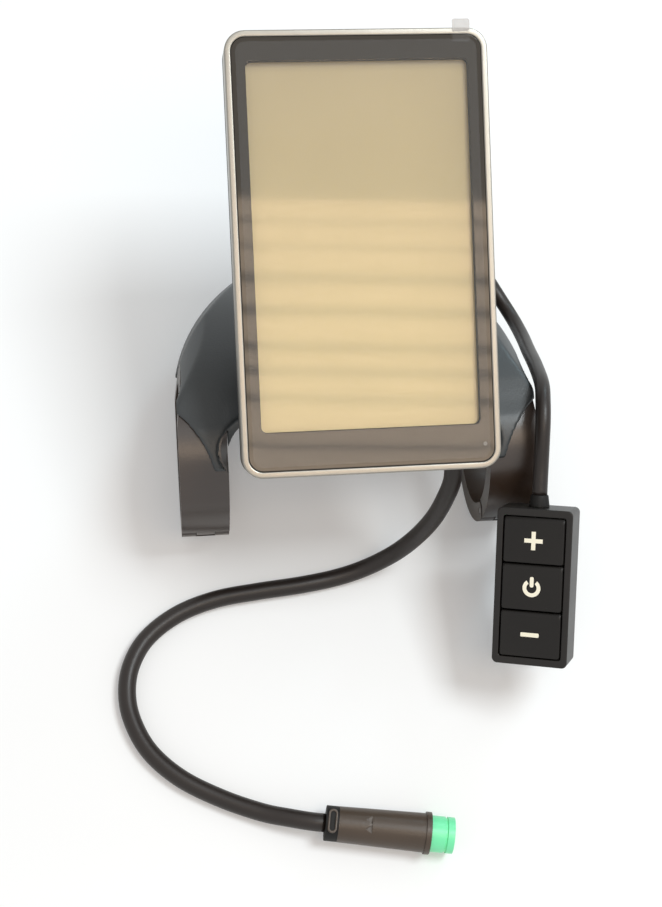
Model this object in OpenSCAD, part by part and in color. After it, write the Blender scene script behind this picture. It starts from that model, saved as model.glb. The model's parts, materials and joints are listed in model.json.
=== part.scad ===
// Handlebar display for an electric bicycle, with its arch bracket, key pad and leads.
// The frame is that of the handlebar: X along the bar, Y away from the rider, Z up.
// The origin lies on the bar's axis, midway between the two clamps.

/* [Display] */
// Width of the display over its metal rim
case_w = 55.8; // [50:0.2:64]
// Height of the display over its metal rim
case_h = 93.6; // [88:0.2:104]
// Width of the metal rim seen from the front
rim_wall = 1.4; // [1.2:0.1:2]
// Depth of the metal rim
rim_depth = 6.6; // [6.2:0.1:8]
// Thickness of the front glass
glass_t = 1.2; // [0.8:0.1:1.2]
// Dark border at each side of the screen
border_side = 2.9; // [2.7:0.1:4]
// Dark border above the screen
border_top = 4.95; // [4.5:0.05:6]
// Dark border below the screen
border_low = 8.25; // [8:0.05:10]
// Thickness of the back cover's walls
cover_wall = 2; // [1.6:0.1:2.4]
// How far the deep housing on the back keeps in from the sides
hump_inset = 2.9; // [2.9:0.1:4]
// Share of the display's height that the deep housing takes
hump_h_share = 0.641; // [0.62:0.001:0.66]
// Depth of the deep housing behind the face
hump_depth = 16.8; // [16.4:0.1:18]

/* [Placing of the display] */
// Distance of the glass's centre behind the bar's axis
disp_y = 21; // [20:0.5:23]
// Height of the glass's centre above the bar's axis
disp_z = 54.5; // [54:0.5:57]
// Lean of the glass towards the rider, in degrees
disp_tilt = 24.5; // [22:0.5:26]

/* [Bracket] */
// Radius of the handlebar
bar_r = 15.9; // [15.5:0.1:15.9]
// Wall of the clamp rings
ring_wall = 4.5; // [4.5:0.1:5]
// Width of each clamp ring
ring_w = 11; // [10.6:0.2:12]
// Distance of each ring's middle from the bracket's middle
ring_x = 35.5; // [34:0.5:37]
// Turn of the clamps' split about the bar, in degrees
split_deg = 10; // [8:1:11]
// Radius of the arch at its lower edge
arch_r = 41.3; // [41:0.1:42]
// Wall of the hollow crown
arch_wall = 3; // [2.6:0.1:3.4]

/* [Key pad] */
// Width of the key pad
pad_w = 17.3; // [16.9:0.1:18]
// Length of the key pad
pad_l = 35.9; // [35.3:0.1:37]
// Depth of the key pad's case
pad_t = 9.6; // [9.4:0.1:10.4]
// Radius of the bar that the key pad clamps
grip_r = 11.1; // [11:0.1:11.1]
// Travel of a key
key_travel = 0.8; // [0.5:0.1:0.8]

/* [Leads] */
// Diameter of the main lead
lead_d = 4.2; // [3.8:0.1:4.4]
// Diameter of the key pad's lead
pad_lead_d = 3.5; // [3.2:0.1:3.6]
// Diameter of the plug's body
plug_d = 9.6; // [9:0.1:10]
// Length of the plug's body
plug_l = 21.2; // [20:0.1:23]

/* [Hidden] */
$fn = 64;
over = 1;
slack = 0.1;
seam = 0.2;
screw_slack = 0.05;

// Display stack, as depths behind the glass's front
glass_w = case_w - 2 * rim_wall;
glass_h = case_h - 2 * rim_wall;
rim_round = 4.4;
rim_lip = 0.15;
glass_round = rim_round - rim_wall;
ledge_t = 0.8;
ledge_w = 1.2;
screen_w = glass_w - 2 * border_side;
screen_h = glass_h - border_top - border_low;
screen_up = (border_low - border_top) / 2;
hump_w = case_w - 2 * hump_inset;
hump_h = case_h * hump_h_share;
gasket_t = 0.6;
gasket_rim = 1.3;
panel_border = 0.8;
panel_w = screen_w + 2 * panel_border;
panel_h = screen_h + 2 * panel_border;
panel_t = 1.4;
backlight_t = 1.8;
panel_z = glass_t + gasket_t;
light_z = panel_z + panel_t;
tray_z = light_z + backlight_t;
tray_wall = 0.8;
tray_floor = 0.8;
tray_back = tray_z + tray_floor;
tray_w = panel_w + 2 * tray_wall + 2 * slack;
tray_h = panel_h + 2 * tray_wall + 2 * slack;
seal_t = 0.4;
plate_z = rim_depth + seal_t;
plate_back = plate_z + cover_wall;
hump_up = 4;
hump_round = 6;
hump_in_w = hump_w - 2 * cover_wall;
hump_in_h = hump_h - 2 * cover_wall;
hump_floor = hump_depth - cover_wall;
film_t = 0.12;
film_edge = 0.9;
tab_w = 3.8;
tab_l = 2.8;
tab_in = 4.2;
tab_x = glass_w / 2 - tab_in;

// Boards of the display
board_inset = 3;
board_side = 5;
board_w = hump_w - 2 * board_side;
board_h = hump_h - 2 * board_inset;
board_t = 1.2;
board_z = 7.4;
post_in = 3;
post_x = board_w / 2 - post_in;
post_reach = board_h / 2 - post_in;
post_r = 2.2;
tray_post_in = 5.3;
tray_post_up = 3;
tray_post_x = tray_w / 2 - tray_post_in;
tray_post_reach = tray_h / 2 - tray_post_in - tray_post_up;
tray_post_r = 2;
small_screw_r = 0.8;
small_head_r = 1.5;
small_head_t = 1;
boss_r = 1.5;
boss_side = 4.5;
boss_low_side = 9;
boss_low_in = 2.8;
boss_x = glass_w / 2 - boss_side;
boss_top = glass_h / 2 - boss_r - slack;
boss_low_x = glass_w / 2 - boss_low_side;
boss_low = glass_h / 2 - boss_low_in;
flex_w = 14;
flex_t = 0.15;
flex_z = 6.45;
flex_out = 1.9;
flex_end_in = 3;
flex_plug_h = 4;
flex_plug_t = 0.9;
sensor_in = 3.5;
sensor_x = glass_w / 2 - sensor_in;
sensor_drop = 3.4;
pipe_out = 0.9;
pipe_x = sensor_x + pipe_out;
pipe_r = 0.55;
sensor_w = 4;
sensor_h = 2.6;
sensor_t = 0.8;
sensor_z = 4.6;
chip_w = 9;
chip_t = 1.2;
coil_w = 7;
coil_t = 3.4;
cap_part_r = 2.4;
cap_part_t = 3.8;
plug_part_w = 8;
plug_part_h = 4;
plug_part_t = 3.6;
buzzer_r = 4.5;
buzzer_t = 4;
buzzer_up = 8;
buzzer_x = 9;

// Leads' glands on the display
gland_in = 5.5;
gland_x = hump_w / 2 - gland_in;
gland_z = 12.4;
gland_flange_r = 3.4;
gland_flange_t = 1.2;
gland_boot_l = 12.3;
gland_boot_r = 3;
gland_tip_r = 2.6;
pad_gland_in = 14.5;
pad_gland_below = 8;
pad_gland_x = hump_w / 2 - pad_gland_in;
pad_gland_up = hump_up + hump_h / 2 - pad_gland_below;
pad_gland_l = 9;
pad_gland_r = 2.8;
pad_gland_tip_r = 2.2;
plug_turn = -10;
plug_x = -11.9;
plug_y = -86.8;

// Hinge of the display, in the display's own frame
hinge_up = -4.7;
hinge_depth = 24.8;
tongue_w = 8;
tongue_r = 4.6;
tongue_plate_w = 26;
tongue_plate_h = 18;
tongue_plate_t = 2.4;
tongue_screw_x = 9.5;
tongue_screw_y = 5.5;
tongue_screw_r = 1.25;
tongue_head_r = 2.3;
tongue_head_t = 1.6;
tongue_boss_r = 2.8;
tongue_boss_t = 2.6;
hinge_bolt_r = 2.5;
hinge_y = disp_y + hinge_up * cos(disp_tilt) + hinge_depth * sin(disp_tilt);
hinge_z = disp_z + hinge_up * sin(disp_tilt) - hinge_depth * cos(disp_tilt);

// Bracket
ring_r = bar_r + ring_wall;
ring_out = ring_x + ring_w / 2;
ring_in = ring_x - ring_w / 2;
arch_floor = -8;
arch_low_y = 15.5;
arch_mid = 14;
arch_mid_y = 3.5;
arch_mid_more = 0.3;
arch_high = 21;
arch_high_y = -14.8;
arch_high_more = 3.3;
dome_r = 60;
far_out = 2 * arch_r;
cover_over = 1;
ring_gap = 0.15;
notch_x = 33.4;
notch_y = 0.2;
notch_round = 13;
notch_low_x = 30.4;
notch_low_y = 1.1;
notch_low_round = 11.2;
notch_top_z = 20;
notch_low_z = 16.6;
notch_front = -12.4;
petal_r = 32.7;
petal_x = 64.3;
petal_y = -22.5;
trim_turn = 5.85;
trim_lean = 3.95;
trim_out = 41.8;
bar_gap = 0.8;
hollow_y = 23;
hollow_x = 25.5;
yoke_r = 9;
saddle_top = 15.2;
yoke_base_t = 6;
ear_w = 4;
ear_gap = 0.3;
ear_r = 5;
heel_w = 15;
heel_l = 6.5;
heel_out = 0.89;
heel_round = 2;
crown_back = sqrt(pow(dome_r, 2) - pow(dome_r + arch_floor - ring_r - cover_over, 2));
heel_y = min(crown_back, arch_low_y + arch_r) + heel_out - heel_l;
saddle_r = 10;
yoke_bolt_r = 2.5;
yoke_head_r = 4.25;
yoke_head_t = 3;
bolt_head_t = 4;
bolt_head_r = 4.25;
nut_t = 4;
nut_r = 4.6;
washer_t = 0.6;
washer_r = 4.9;
hex_key_r = 1.8;
hex_key_t = 2;

// Clamps: the knuckle lies flush in the ring's wall
knuckle_in = 0.05;
knuckle_r = ring_wall / 2 - knuckle_in;
knuckle_y = -(bar_r + ring_wall / 2);
knuckle_mid = 4;
knuckle_clear = 3.4;
pin_r = 0.8;
lug_in = 4;
lug_out = 3.6;
lug_y = ring_r + lug_out;
lug_r = 3.6;
lug_t = 4.3;
lug_gap = 0.4;
lug_room = 0.4;
clamp_screw_r = 1.25;
clamp_hole_r = 1.7;
clamp_head_r = 2.75;
clamp_head_t = 2.6;
insert_r = 2.3;
insert_bore_r = 1.5;
insert_l = 4;
screw_reach = 4;
jaw_screw_turn = 25;
jaw_screw_in = 3;
jaw_screw_r = 1.1;
jaw_screw_head_r = 2.1;
jaw_screw_head_t = 1.2;
jaw_screw_l = 7.4;

// Key pad, placed by its face's centre and turned to lie as it does
pad_x = 36.7;
pad_y = -42;
pad_z = 11.3;
pad_turn = [29.4, -20.2, -15.2];
pad_wall = 1;
pad_round = 1.2;
pad_front_t = 1.2;
key_frame_side = 1.5;
key_frame_end = 1.75;
key_open_w = pad_w - 2 * key_frame_side;
key_open_l = pad_l - 2 * key_frame_end;
key_side = 0.2;
key_gap = 0.3;
key_l = (key_open_l - 2 * key_side - 2 * key_gap) / 3;
key_w = key_open_w - 2 * key_side;
key_pitch = key_l + key_gap;
key_proud = 0.4;
key_flange = 0.35;
key_rest = 0.3;
key_bottom = 2.7;
key_bevel = 0.7;
key_round = 0.5;
mark_w = 4.2;
mark_t = 0.95;
mark_deep = 0.2;
power_r = 2.05;
power_open = 38;
mat_gap = 0.9;
mat_t = 0.8;
mat_side = 1.15;
mat_end = 4.25;
mat_w = pad_w - 2 * mat_side;
mat_l = pad_l - 2 * mat_end;
switch_w = 4.4;
switch_t = 1.6;
pad_board_t = 1.2;
mat_z = key_bottom + mat_gap;
switch_z = mat_z + mat_t;
pad_board_z = switch_z + switch_t;
base_t = 1.5;
pad_boss_side = 3.05;
pad_boss_end = 2.65;
pad_boss_x = pad_w / 2 - pad_boss_side;
pad_boss_y = pad_l / 2 - pad_boss_end;
pad_boss_r = 1.5;
pad_boss_z = 4;
pad_post_r = 1.6;
pad_ring_wall = 2.2;
pad_ring_w = 8;
pad_ring_r = grip_r + pad_ring_wall;
grip_gap = 0.6;
pad_axis = pad_t + grip_r + grip_gap;
pad_knuckle_r = pad_ring_wall / 2;
pad_knuckle_y = grip_r + pad_ring_wall / 2;
pad_knuckle_mid = 3;
pad_knuckle_clear = 2;
pad_pin_r = 0.5;
pad_lug_out = 2.4;
pad_lug_y = -(pad_ring_r + pad_lug_out);
pad_lug_r = 2.6;
pad_lug_t = 3;
pad_screw_r = 0.8;
pad_hole_r = 1.2;
pad_head_r = 2;
pad_head_t = 1.6;
pad_insert_r = 1.6;
pad_insert_l = 3.4;
pad_insert_bore_r = 1;
pad_screw_reach = 3;
entry_l = 2.8;
entry_r = 2.4;
entry_tip_r = 2;
entry_z = pad_t / 2;
entry_in = 1.2;

// Plug on the main lead
collar_l = 2.9;
collar_r = 4;
collar_slot = 0.8;
plug_waist_share = 0.84;
plug_rim_l = 1.2;
mark_cut = 0.35;
nose_r = 4.1;
nose_l = 5.4;
nose_in = 6;
nose_lip = 0.35;
nose_groove = 1.6;
nose_groove_w = 0.5;
nose_bore = 3.1;
nose_bore_l = 4.6;
contact_r = 0.45;
contact_ring = 1.4;
contact_l = 7;
contacts = 5;
seal_r = 0.5;

module on_display() {
  translate([0, disp_y, disp_z]) rotate([disp_tilt, 0, 0]) children();
}

module on_pad() {
  translate([pad_x, pad_y, pad_z]) rotate(pad_turn) children();
}

module on_clamp(side) {
  translate([side * ring_x, 0, 0]) rotate([split_deg, 0, 0]) children();
}

module on_plug() {
  translate([plug_x, plug_y, plug_d / 2 - ring_r]) rotate([0, 0, plug_turn]) rotate([0, 90, 0]) children();
}

module along_x(r, w) {
  rotate([0, 90, 0]) cylinder(r = r, h = w, center = true);
}

module round_flat(w, h, r) {
  square([w - 2 * r, h], center = true);
  square([w, h - 2 * r], center = true);
  for (x = [-1, 1], y = [-1, 1]) translate([x * (w / 2 - r), y * (h / 2 - r)]) circle(r = r);
}

// A rounded slab from one depth behind the face to another
module slab(w, h, r, near, far) {
  translate([0, 0, -far]) linear_extrude(far - near) round_flat(w, h, r);
}

// A tube's points: a ring of corners at each route point, square to the route there
function unit(v) = v / norm(v);
function heading(p, i) = unit(p[min(i + 1, len(p) - 1)] - p[max(i - 1, 0)]);
function side_way(d) = unit(cross(d, abs(d.z) > 0.9 ? [0, 1, 0] : [0, 0, 1]));
function carried(n, d) = unit(n - (n * d) * d);
function ways(p, i) = i == 0 ? [side_way(heading(p, 0))]
  : let(w = ways(p, i - 1)) concat(w, [carried(w[i - 1], heading(p, i))]);
function tube_points(p, r, sides) = let(w = ways(p, len(p) - 1)) [
  for (i = [0:len(p) - 1], k = [0:sides - 1])
    let(n = w[i], b = cross(heading(p, i), n), a = 360 * k / sides)
    p[i] + r * cos(a) * n + r * sin(a) * b];
function tube_faces(rings, sides) = concat(
  [[for (k = [0:sides - 1]) k]],
  [for (i = [0:rings - 2], k = [0:sides - 1], t = [0, 1])
    let(a = i * sides + k, b = i * sides + (k + 1) % sides)
    t == 0 ? [a, a + sides, b] : [b, a + sides, b + sides]],
  [[for (k = [sides - 1:-1:0]) (rings - 1) * sides + k]]);
module tube(p, r, sides) {
  polyhedron(points = tube_points(p, r, sides), faces = tube_faces(len(p), sides), convexity = 8);
}

function display_place(x, up, depth) = [x,
  disp_y + up * cos(disp_tilt) + depth * sin(disp_tilt),
  disp_z + up * sin(disp_tilt) - depth * cos(disp_tilt)];
function turned(v, a) =
  let(p = [v.x, v.y * cos(a.x) - v.z * sin(a.x), v.y * sin(a.x) + v.z * cos(a.x)],
    q = [p.x * cos(a.y) + p.z * sin(a.y), p.y, p.z * cos(a.y) - p.x * sin(a.y)])
  [q.x * cos(a.z) - q.y * sin(a.z), q.x * sin(a.z) + q.y * cos(a.z), q.z];
function pad_place(x, up, depth) = [pad_x, pad_y, pad_z] + turned([x, up, -depth], pad_turn);

hump_low = hump_up - hump_h / 2;
function flex_end() = hump_low + board_inset + flex_end_in;
lead_gap = 0.05;
lead_straight = 3;
function main_point(d) = display_place(gland_x, hump_low - gland_boot_l - gland_flange_t - d, gland_z);
function pad_point(d) = display_place(pad_gland_x, pad_gland_up, hump_depth + pad_gland_l + d);
function pad_end_point(d) = pad_place(0, pad_l / 2 + entry_l + d, entry_z);
function plug_point(d) = [plug_x - d * cos(plug_turn), plug_y - d * sin(plug_turn), plug_d / 2 - ring_r];
main_route = concat([main_point(lead_gap), main_point(lead_straight)], [[20.1, -17.2, 19.4],
  [19.1, -19.8, 12.5],
  [17.2, -21.8, 4], [14, -23.2, -5], [9.5, -24.6, -12], [3.2, -26.2, -16.6], [-4, -27.8, -18.2],
  [-13, -29.2, -18.2], [-23.5, -30.2, -18.2], [-33.8, -31.6, -18.2], [-43, -34.8, -18.2],
  [-50.4, -40.2, -18.2], [-54.4, -46.8, -18.2], [-55.5, -53.8, -18.2], [-54.2, -60.6, -18.2],
  [-50.5, -67.6, -18.2], [-43.8, -74, -18.2], [-34.8, -79.2, -18.2], [-26, -83, -17.7],
  [-20, -84.9, -16.4]], [plug_point(lead_straight), plug_point(lead_gap)]);
pad_route = concat([pad_point(lead_gap), pad_point(lead_straight)], [[12.2, 59.4, 33],
  [16.6, 59.4, 26.2], [22.5, 57.4, 19.5], [28, 54.4, 12.5], [33, 50.2, 6], [37.6, 45, 0.5],
  [41.8, 39, -2.8], [44.6, 32.4, -2.6], [45.2, 25.6, 1.6], [44.6, 18.8, 7.8], [43.6, 11, 16],
  [42.4, 2.8, 23.7], [41.5, -2.6, 25.9], [41, -7.2, 25.4], [40.7, -11.6, 23], [40.5, -15.7, 20.2]], [pad_end_point(lead_straight), pad_end_point(lead_gap)]);

module front_frame() color([0.86, 0.84, 0.80]) on_display() {
  difference() {
    translate([0, 0, rim_lip]) slab(case_w, case_h, rim_round, 0, rim_depth + rim_lip);
    slab(glass_w, glass_h, glass_round, -over, rim_depth + over);
  }
  difference() {
    slab(glass_w + slack, glass_h + slack, glass_round, glass_t + slack, glass_t + slack + ledge_t);
    slab(glass_w - 2 * ledge_w, glass_h - 2 * ledge_w, glass_round, 0, rim_depth);
  }
  for (s = [-1, 1]) {
    frame_boss(s * boss_x, boss_top);
    frame_boss(s * boss_low_x, -boss_low);
  }
}

module frame_boss(x, y) {
  wall_side = y > 0 ? 1 : -1;
  difference() {
    union() {
      translate([x, y, -rim_depth]) cylinder(r = boss_r, h = rim_depth - glass_t - slack - ledge_t);
      translate([x - boss_r, min(y, wall_side * (glass_h / 2 + slack)), -rim_depth])
        cube([2 * boss_r, abs(glass_h / 2 + slack - abs(y)), rim_depth - glass_t - slack - ledge_t]);
    }
    translate([x, y, -rim_depth - over]) cylinder(r = small_screw_r + screw_slack, h = over + rim_depth / 2);
  }
}

module cover_glass() color([0.25, 0.23, 0.21, 0.6]) on_display()
  slab(glass_w - slack, glass_h - slack, glass_round, 0, glass_t);

module screen_film() color([0.75, 0.76, 0.77, 0.4]) on_display() {
  slab(glass_w - 2 * film_edge, glass_h - 2 * film_edge, glass_round, -film_t, 0);
  translate([tab_x - tab_w / 2, glass_h / 2 - 2 * film_edge, 0]) {
    cube([tab_w, 2 * film_edge - slack, rim_lip + film_t]);
    translate([0, 0, rim_lip]) cube([tab_w, tab_l + 2 * film_edge, film_t]);
  }
}

module lens_gasket() color([0.08, 0.08, 0.08]) on_display() translate([0, screen_up, 0])
  difference() {
    slab(screen_w + 2 * gasket_rim, screen_h + 2 * gasket_rim, gasket_rim, glass_t, panel_z);
    slab(screen_w, screen_h, gasket_rim, 0, panel_z + over);
  }

module lcd_panel() color([0.80, 0.72, 0.55]) on_display() translate([0, screen_up, 0])
  slab(panel_w, panel_h, slack, panel_z, light_z);

module backlight() color([0.92, 0.93, 0.90]) on_display() translate([0, screen_up, 0])
  slab(panel_w, panel_h, slack, light_z, tray_z);

module lcd_carrier() color([0.12, 0.12, 0.13]) on_display() translate([0, screen_up, 0])
  difference() {
    slab(tray_w, tray_h, tray_wall, light_z - panel_t / 2, tray_back);
    slab(panel_w + 2 * slack, panel_h + 2 * slack, slack, 0, tray_z);
    translate([-(flex_w + over) / 2, -tray_h / 2 - over, -tray_z]) cube([flex_w + over, 2 * over + tray_wall, tray_z]);
  }

// The flat cable leaves the panel's lower edge, turns back and ends at the board
module ribbon_cable() color([0.75, 0.45, 0.15]) on_display() {
  edge = screen_up - panel_h / 2;
  out = edge - flex_out;
  rotate([90, 0, 90]) translate([0, 0, -flex_w / 2]) linear_extrude(flex_w) {
    translate([out, -light_z + panel_t / 2]) square([flex_out, flex_t]);
    translate([out - flex_t, -flex_z - flex_t]) square([flex_t, flex_z + flex_t - light_z + panel_t / 2 + flex_t]);
    translate([out - flex_t, -flex_z - flex_t]) square([flex_end() - out + flex_t, flex_t]);
  }
}

module light_sensor() color([0.85, 0.85, 0.82]) on_display() {
  low = sensor_drop - glass_h / 2;
  translate([sensor_x, low, -sensor_z - sensor_t / 2]) cube([sensor_w, sensor_h, sensor_t], center = true);
  translate([pipe_x, low + slack, -sensor_z]) cylinder(r = pipe_r, h = sensor_z - glass_t);
}

module main_board() color([0.05, 0.30, 0.16]) on_display() translate([0, hump_up, 0])
  difference() {
    slab(board_w, board_h, over, board_z, board_z + board_t);
    for (x = [-1, 1], y = [-1, 1])
      translate([x * post_x, y * post_reach, -board_z - board_t - over])
        cylinder(r = small_screw_r + screw_slack, h = board_t + 2 * over);
  }

module board_parts() color([0.14, 0.14, 0.15]) on_display() {
  back = board_z + board_t;
  translate([-chip_w / 2, hump_up + chip_w / 2, -back - chip_t]) cube([chip_w, chip_w, chip_t]);
  translate([-post_x, hump_up + coil_w, -back - coil_t]) cube([coil_w, coil_w, coil_t]);
  for (k = [0:2]) translate([-post_x + coil_w / 2, hump_up - k * coil_w, -back - cap_part_t])
    cylinder(r = cap_part_r, h = cap_part_t);
  translate([gland_x - plug_part_w, hump_up - board_h / 2 + 2 * plug_part_h, -back - plug_part_t])
    cube([plug_part_w, plug_part_h, plug_part_t]);
  translate([-plug_part_w / 2, hump_up + board_h / 2 - 2 * plug_part_h, -back - plug_part_t])
    cube([plug_part_w, plug_part_h, plug_part_t]);
  translate([-flex_w / 2, flex_end(), -board_z]) cube([flex_w, flex_plug_h, flex_plug_t]);
}

module board_screws() color([0.75, 0.75, 0.76]) on_display() translate([0, hump_up, 0])
  for (x = [-1, 1], y = [-1, 1]) translate([x * post_x, y * post_reach, 0]) {
    translate([0, 0, -board_z]) cylinder(r = small_head_r, h = small_head_t);
    translate([0, 0, -board_z - board_t - 2 * small_head_t]) cylinder(r = small_screw_r, h = board_t + 2 * small_head_t);
  }

module buzzer() color([0.06, 0.06, 0.06]) on_display()
  translate([buzzer_x, hump_up + buzzer_up, -board_z - board_t - buzzer_t])
  difference() {
    cylinder(r = buzzer_r, h = buzzer_t);
    translate([0, 0, -over]) cylinder(r = pipe_r, h = over + buzzer_t / 2);
  }

// Flat plate with a deep housing, open to the front
module back_cover() color([0.11, 0.11, 0.12]) on_display() {
  difference() {
    union() {
      slab(case_w, case_h, rim_round, plate_z, plate_back);
      translate([0, hump_up, 0]) slab(hump_w, hump_h, hump_round, plate_back - over, hump_depth);
    }
    translate([0, hump_up, 0]) slab(hump_in_w, hump_in_h, hump_round - cover_wall, 0, hump_floor);
    for (s = [-1, 1]) {
      case_screw_room(s * boss_x, boss_top);
      case_screw_room(s * boss_low_x, -boss_low);
    }
    translate([gland_x, hump_low + over + cover_wall, -gland_z]) rotate([90, 0, 0])
      cylinder(r = gland_tip_r, h = cover_wall + 2 * over);
    translate([pad_gland_x, pad_gland_up, -hump_depth - over])
      cylinder(r = pad_gland_tip_r, h = cover_wall + 2 * over);
    tongue_screw_holes(tongue_screw_r + screw_slack, hump_depth - cover_wall - over, hump_depth + over);
  }
  for (x = [-1, 1], y = [-1, 1]) {
    translate([x * post_x, hump_up + y * post_reach, -hump_floor - over / 2]) difference() {
      cylinder(r = post_r, h = hump_floor - board_z - board_t + over / 2);
      translate([0, 0, over]) cylinder(r = small_screw_r + screw_slack, h = hump_floor);
    }
    translate([x * tray_post_x, tray_post_up + y * tray_post_reach, -plate_z - over / 2])
      cylinder(r = tray_post_r, h = plate_z - tray_back + over / 2);
  }
  difference() {
    for (x = [-1, 1], y = [-1, 1])
      translate([x * tongue_screw_x, hinge_up + y * tongue_screw_y, -hump_floor - over / 2])
        cylinder(r = tongue_boss_r, h = tongue_boss_t);
    tongue_screw_holes(tongue_screw_r + screw_slack, 0, hump_depth + over);
  }
  translate([sensor_x, sensor_drop - glass_h / 2, -plate_z - over / 2])
    cylinder(r = small_screw_r, h = plate_z + over / 2 - sensor_z - sensor_t);
}

module case_screw_room(x, y) {
  translate([x, y, -plate_back - over]) {
    cylinder(r = small_screw_r + screw_slack, h = cover_wall + 2 * over);
    cylinder(r = small_head_r + slack, h = over + small_head_t);
  }
}

module tongue_screw_holes(r, near, far) {
  for (x = [-1, 1], y = [-1, 1])
    translate([x * tongue_screw_x, hinge_up + y * tongue_screw_y, -far]) cylinder(r = r, h = far - near);
}

module case_seal() color([0.04, 0.04, 0.04]) on_display() difference() {
  slab(case_w - slack, case_h - slack, rim_round, rim_depth, plate_z);
  slab(glass_w, glass_h, glass_round, 0, plate_z + over);
}

module case_screws() color([0.30, 0.30, 0.31]) on_display() for (s = [-1, 1]) {
  case_screw(s * boss_x, boss_top);
  case_screw(s * boss_low_x, -boss_low);
}

module case_screw(x, y) {
  translate([x, y, -plate_back]) difference() {
    union() {
      cylinder(r = small_head_r, h = small_head_t);
      cylinder(r = small_screw_r, h = plate_back - rim_depth + rim_depth / 2 - over / 2);
    }
    translate([0, 0, -over]) cylinder(r = small_screw_r, h = over + small_head_t / 2, $fn = 6);
  }
}

// Hinge foot screwed to the display's back
module tilt_tongue() color([0.10, 0.10, 0.11]) on_display() difference() {
  union() {
    translate([0, hinge_up, 0]) slab(tongue_plate_w, tongue_plate_h, over, hump_depth, hump_depth + tongue_plate_t);
    translate([0, hinge_up, -hinge_depth]) along_x(tongue_r, tongue_w);
    translate([-tongue_w / 2, hinge_up - tongue_r, -hinge_depth])
      cube([tongue_w, 2 * tongue_r, hinge_depth - hump_depth - over / 2]);
  }
  translate([0, hinge_up, -hinge_depth]) along_x(hinge_bolt_r + screw_slack, tongue_w + 2 * over);
  tongue_screw_holes(tongue_screw_r + screw_slack, 0, hinge_depth);
  tongue_screw_holes(tongue_head_r + slack, hump_depth + tongue_plate_t - tongue_head_t + over / 2, hinge_depth);
}

module tongue_screws() color([0.35, 0.35, 0.36]) on_display() {
  head_back = hump_depth + tongue_plate_t + over / 2;
  difference() {
    union() {
      tongue_screw_holes(tongue_head_r, head_back - tongue_head_t, head_back);
      tongue_screw_holes(tongue_screw_r, hump_floor - tongue_boss_t / 2, head_back);
    }
    for (x = [-1, 1], y = [-1, 1])
      translate([x * tongue_screw_x, hinge_up + y * tongue_screw_y, -head_back - over])
        cylinder(r = tongue_screw_r, h = over + tongue_head_t / 2, $fn = 6);
  }
}

// Rubber gland in the housing's lower wall, tapering to the lead
module main_gland() color([0.05, 0.05, 0.05]) on_display()
  translate([gland_x, hump_low, -gland_z]) rotate([90, 0, 0]) {
    cylinder(r = gland_flange_r, h = gland_flange_t);
    translate([0, 0, gland_flange_t]) cylinder(r1 = gland_boot_r, r2 = gland_tip_r, h = gland_boot_l);
    translate([0, 0, slack - cover_wall]) cylinder(r = gland_tip_r - slack, h = cover_wall);
  }

module pad_gland() color([0.05, 0.05, 0.05]) on_display()
  translate([pad_gland_x, pad_gland_up, -hump_depth]) mirror([0, 0, 1]) {
    cylinder(r = pad_gland_r, h = gland_flange_t);
    cylinder(r1 = pad_gland_r - slack, r2 = pad_gland_tip_r, h = pad_gland_l);
    translate([0, 0, slack - cover_wall]) cylinder(r = pad_gland_tip_r - slack, h = cover_wall);
  }

module main_lead() color([0.07, 0.07, 0.07]) tube(main_route, lead_d / 2, 10);

module pad_lead() color([0.10, 0.10, 0.10]) tube(pad_route, pad_lead_d / 2, 8);

module plug_collar() color([0.08, 0.08, 0.08]) on_plug() difference() {
  cylinder(r = collar_r, h = collar_l);
  for (s = [-1, 1]) translate([s * collar_r, 0, collar_l / 2])
    cube([collar_slot * 2, collar_r, collar_slot], center = true);
}

// Moulded body that widens to the front, with alignment wedges pressed into its side
module plug_body() color([0.07, 0.07, 0.07]) on_plug() difference() {
  union() {
    translate([0, 0, collar_l])
      cylinder(r1 = plug_waist_share * plug_d / 2, r2 = plug_d / 2 - nose_lip, h = plug_l - plug_rim_l);
    translate([0, 0, collar_l + plug_l - plug_rim_l]) cylinder(r = plug_d / 2, h = plug_rim_l);
  }
  translate([0, 0, collar_l + plug_l - nose_in]) cylinder(r = nose_r + slack / 2, h = nose_in + over);
  for (s = [-1, 1]) translate([-plug_d / 2, s * mark_w / 4, collar_l + plug_l / 3]) rotate([0, 90, 0])
    cylinder(r = mark_w / 4, h = 2 * (plug_d / 2 - plug_waist_share * plug_d / 2 + mark_cut), $fn = 3, center = true);
}

module plug_nose() color([0.05, 0.55, 0.25]) on_plug() difference() {
  union() {
    translate([0, 0, collar_l + plug_l - nose_in]) cylinder(r = nose_r, h = nose_in + nose_l);
  }
  translate([0, 0, collar_l + plug_l + nose_l - nose_bore_l]) cylinder(r = nose_bore, h = nose_bore_l + over);
  translate([0, 0, collar_l + plug_l + nose_l - nose_groove - nose_groove_w]) difference() {
    cylinder(r = nose_r + over, h = nose_groove_w);
    translate([0, 0, -over]) cylinder(r = nose_r - nose_lip, h = nose_groove_w + 2 * over);
  }
  contact_rods(contact_r + screw_slack / 2, 0);
}

module contact_rods(r, less) {
  for (k = [0:contacts - 1]) rotate([0, 0, k * 360 / contacts])
    translate([contact_ring, 0, collar_l + plug_l + nose_l - over - contact_l]) cylinder(r = r, h = contact_l - less);
}

module plug_seal() color([0.85, 0.80, 0.30]) on_plug()
  translate([0, 0, collar_l + plug_l + nose_l - nose_bore_l])
  rotate_extrude() translate([nose_bore - seal_r, seal_r]) circle(r = seal_r);

module plug_contacts() color([0.80, 0.65, 0.30]) on_plug() contact_rods(contact_r, 0);

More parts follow.
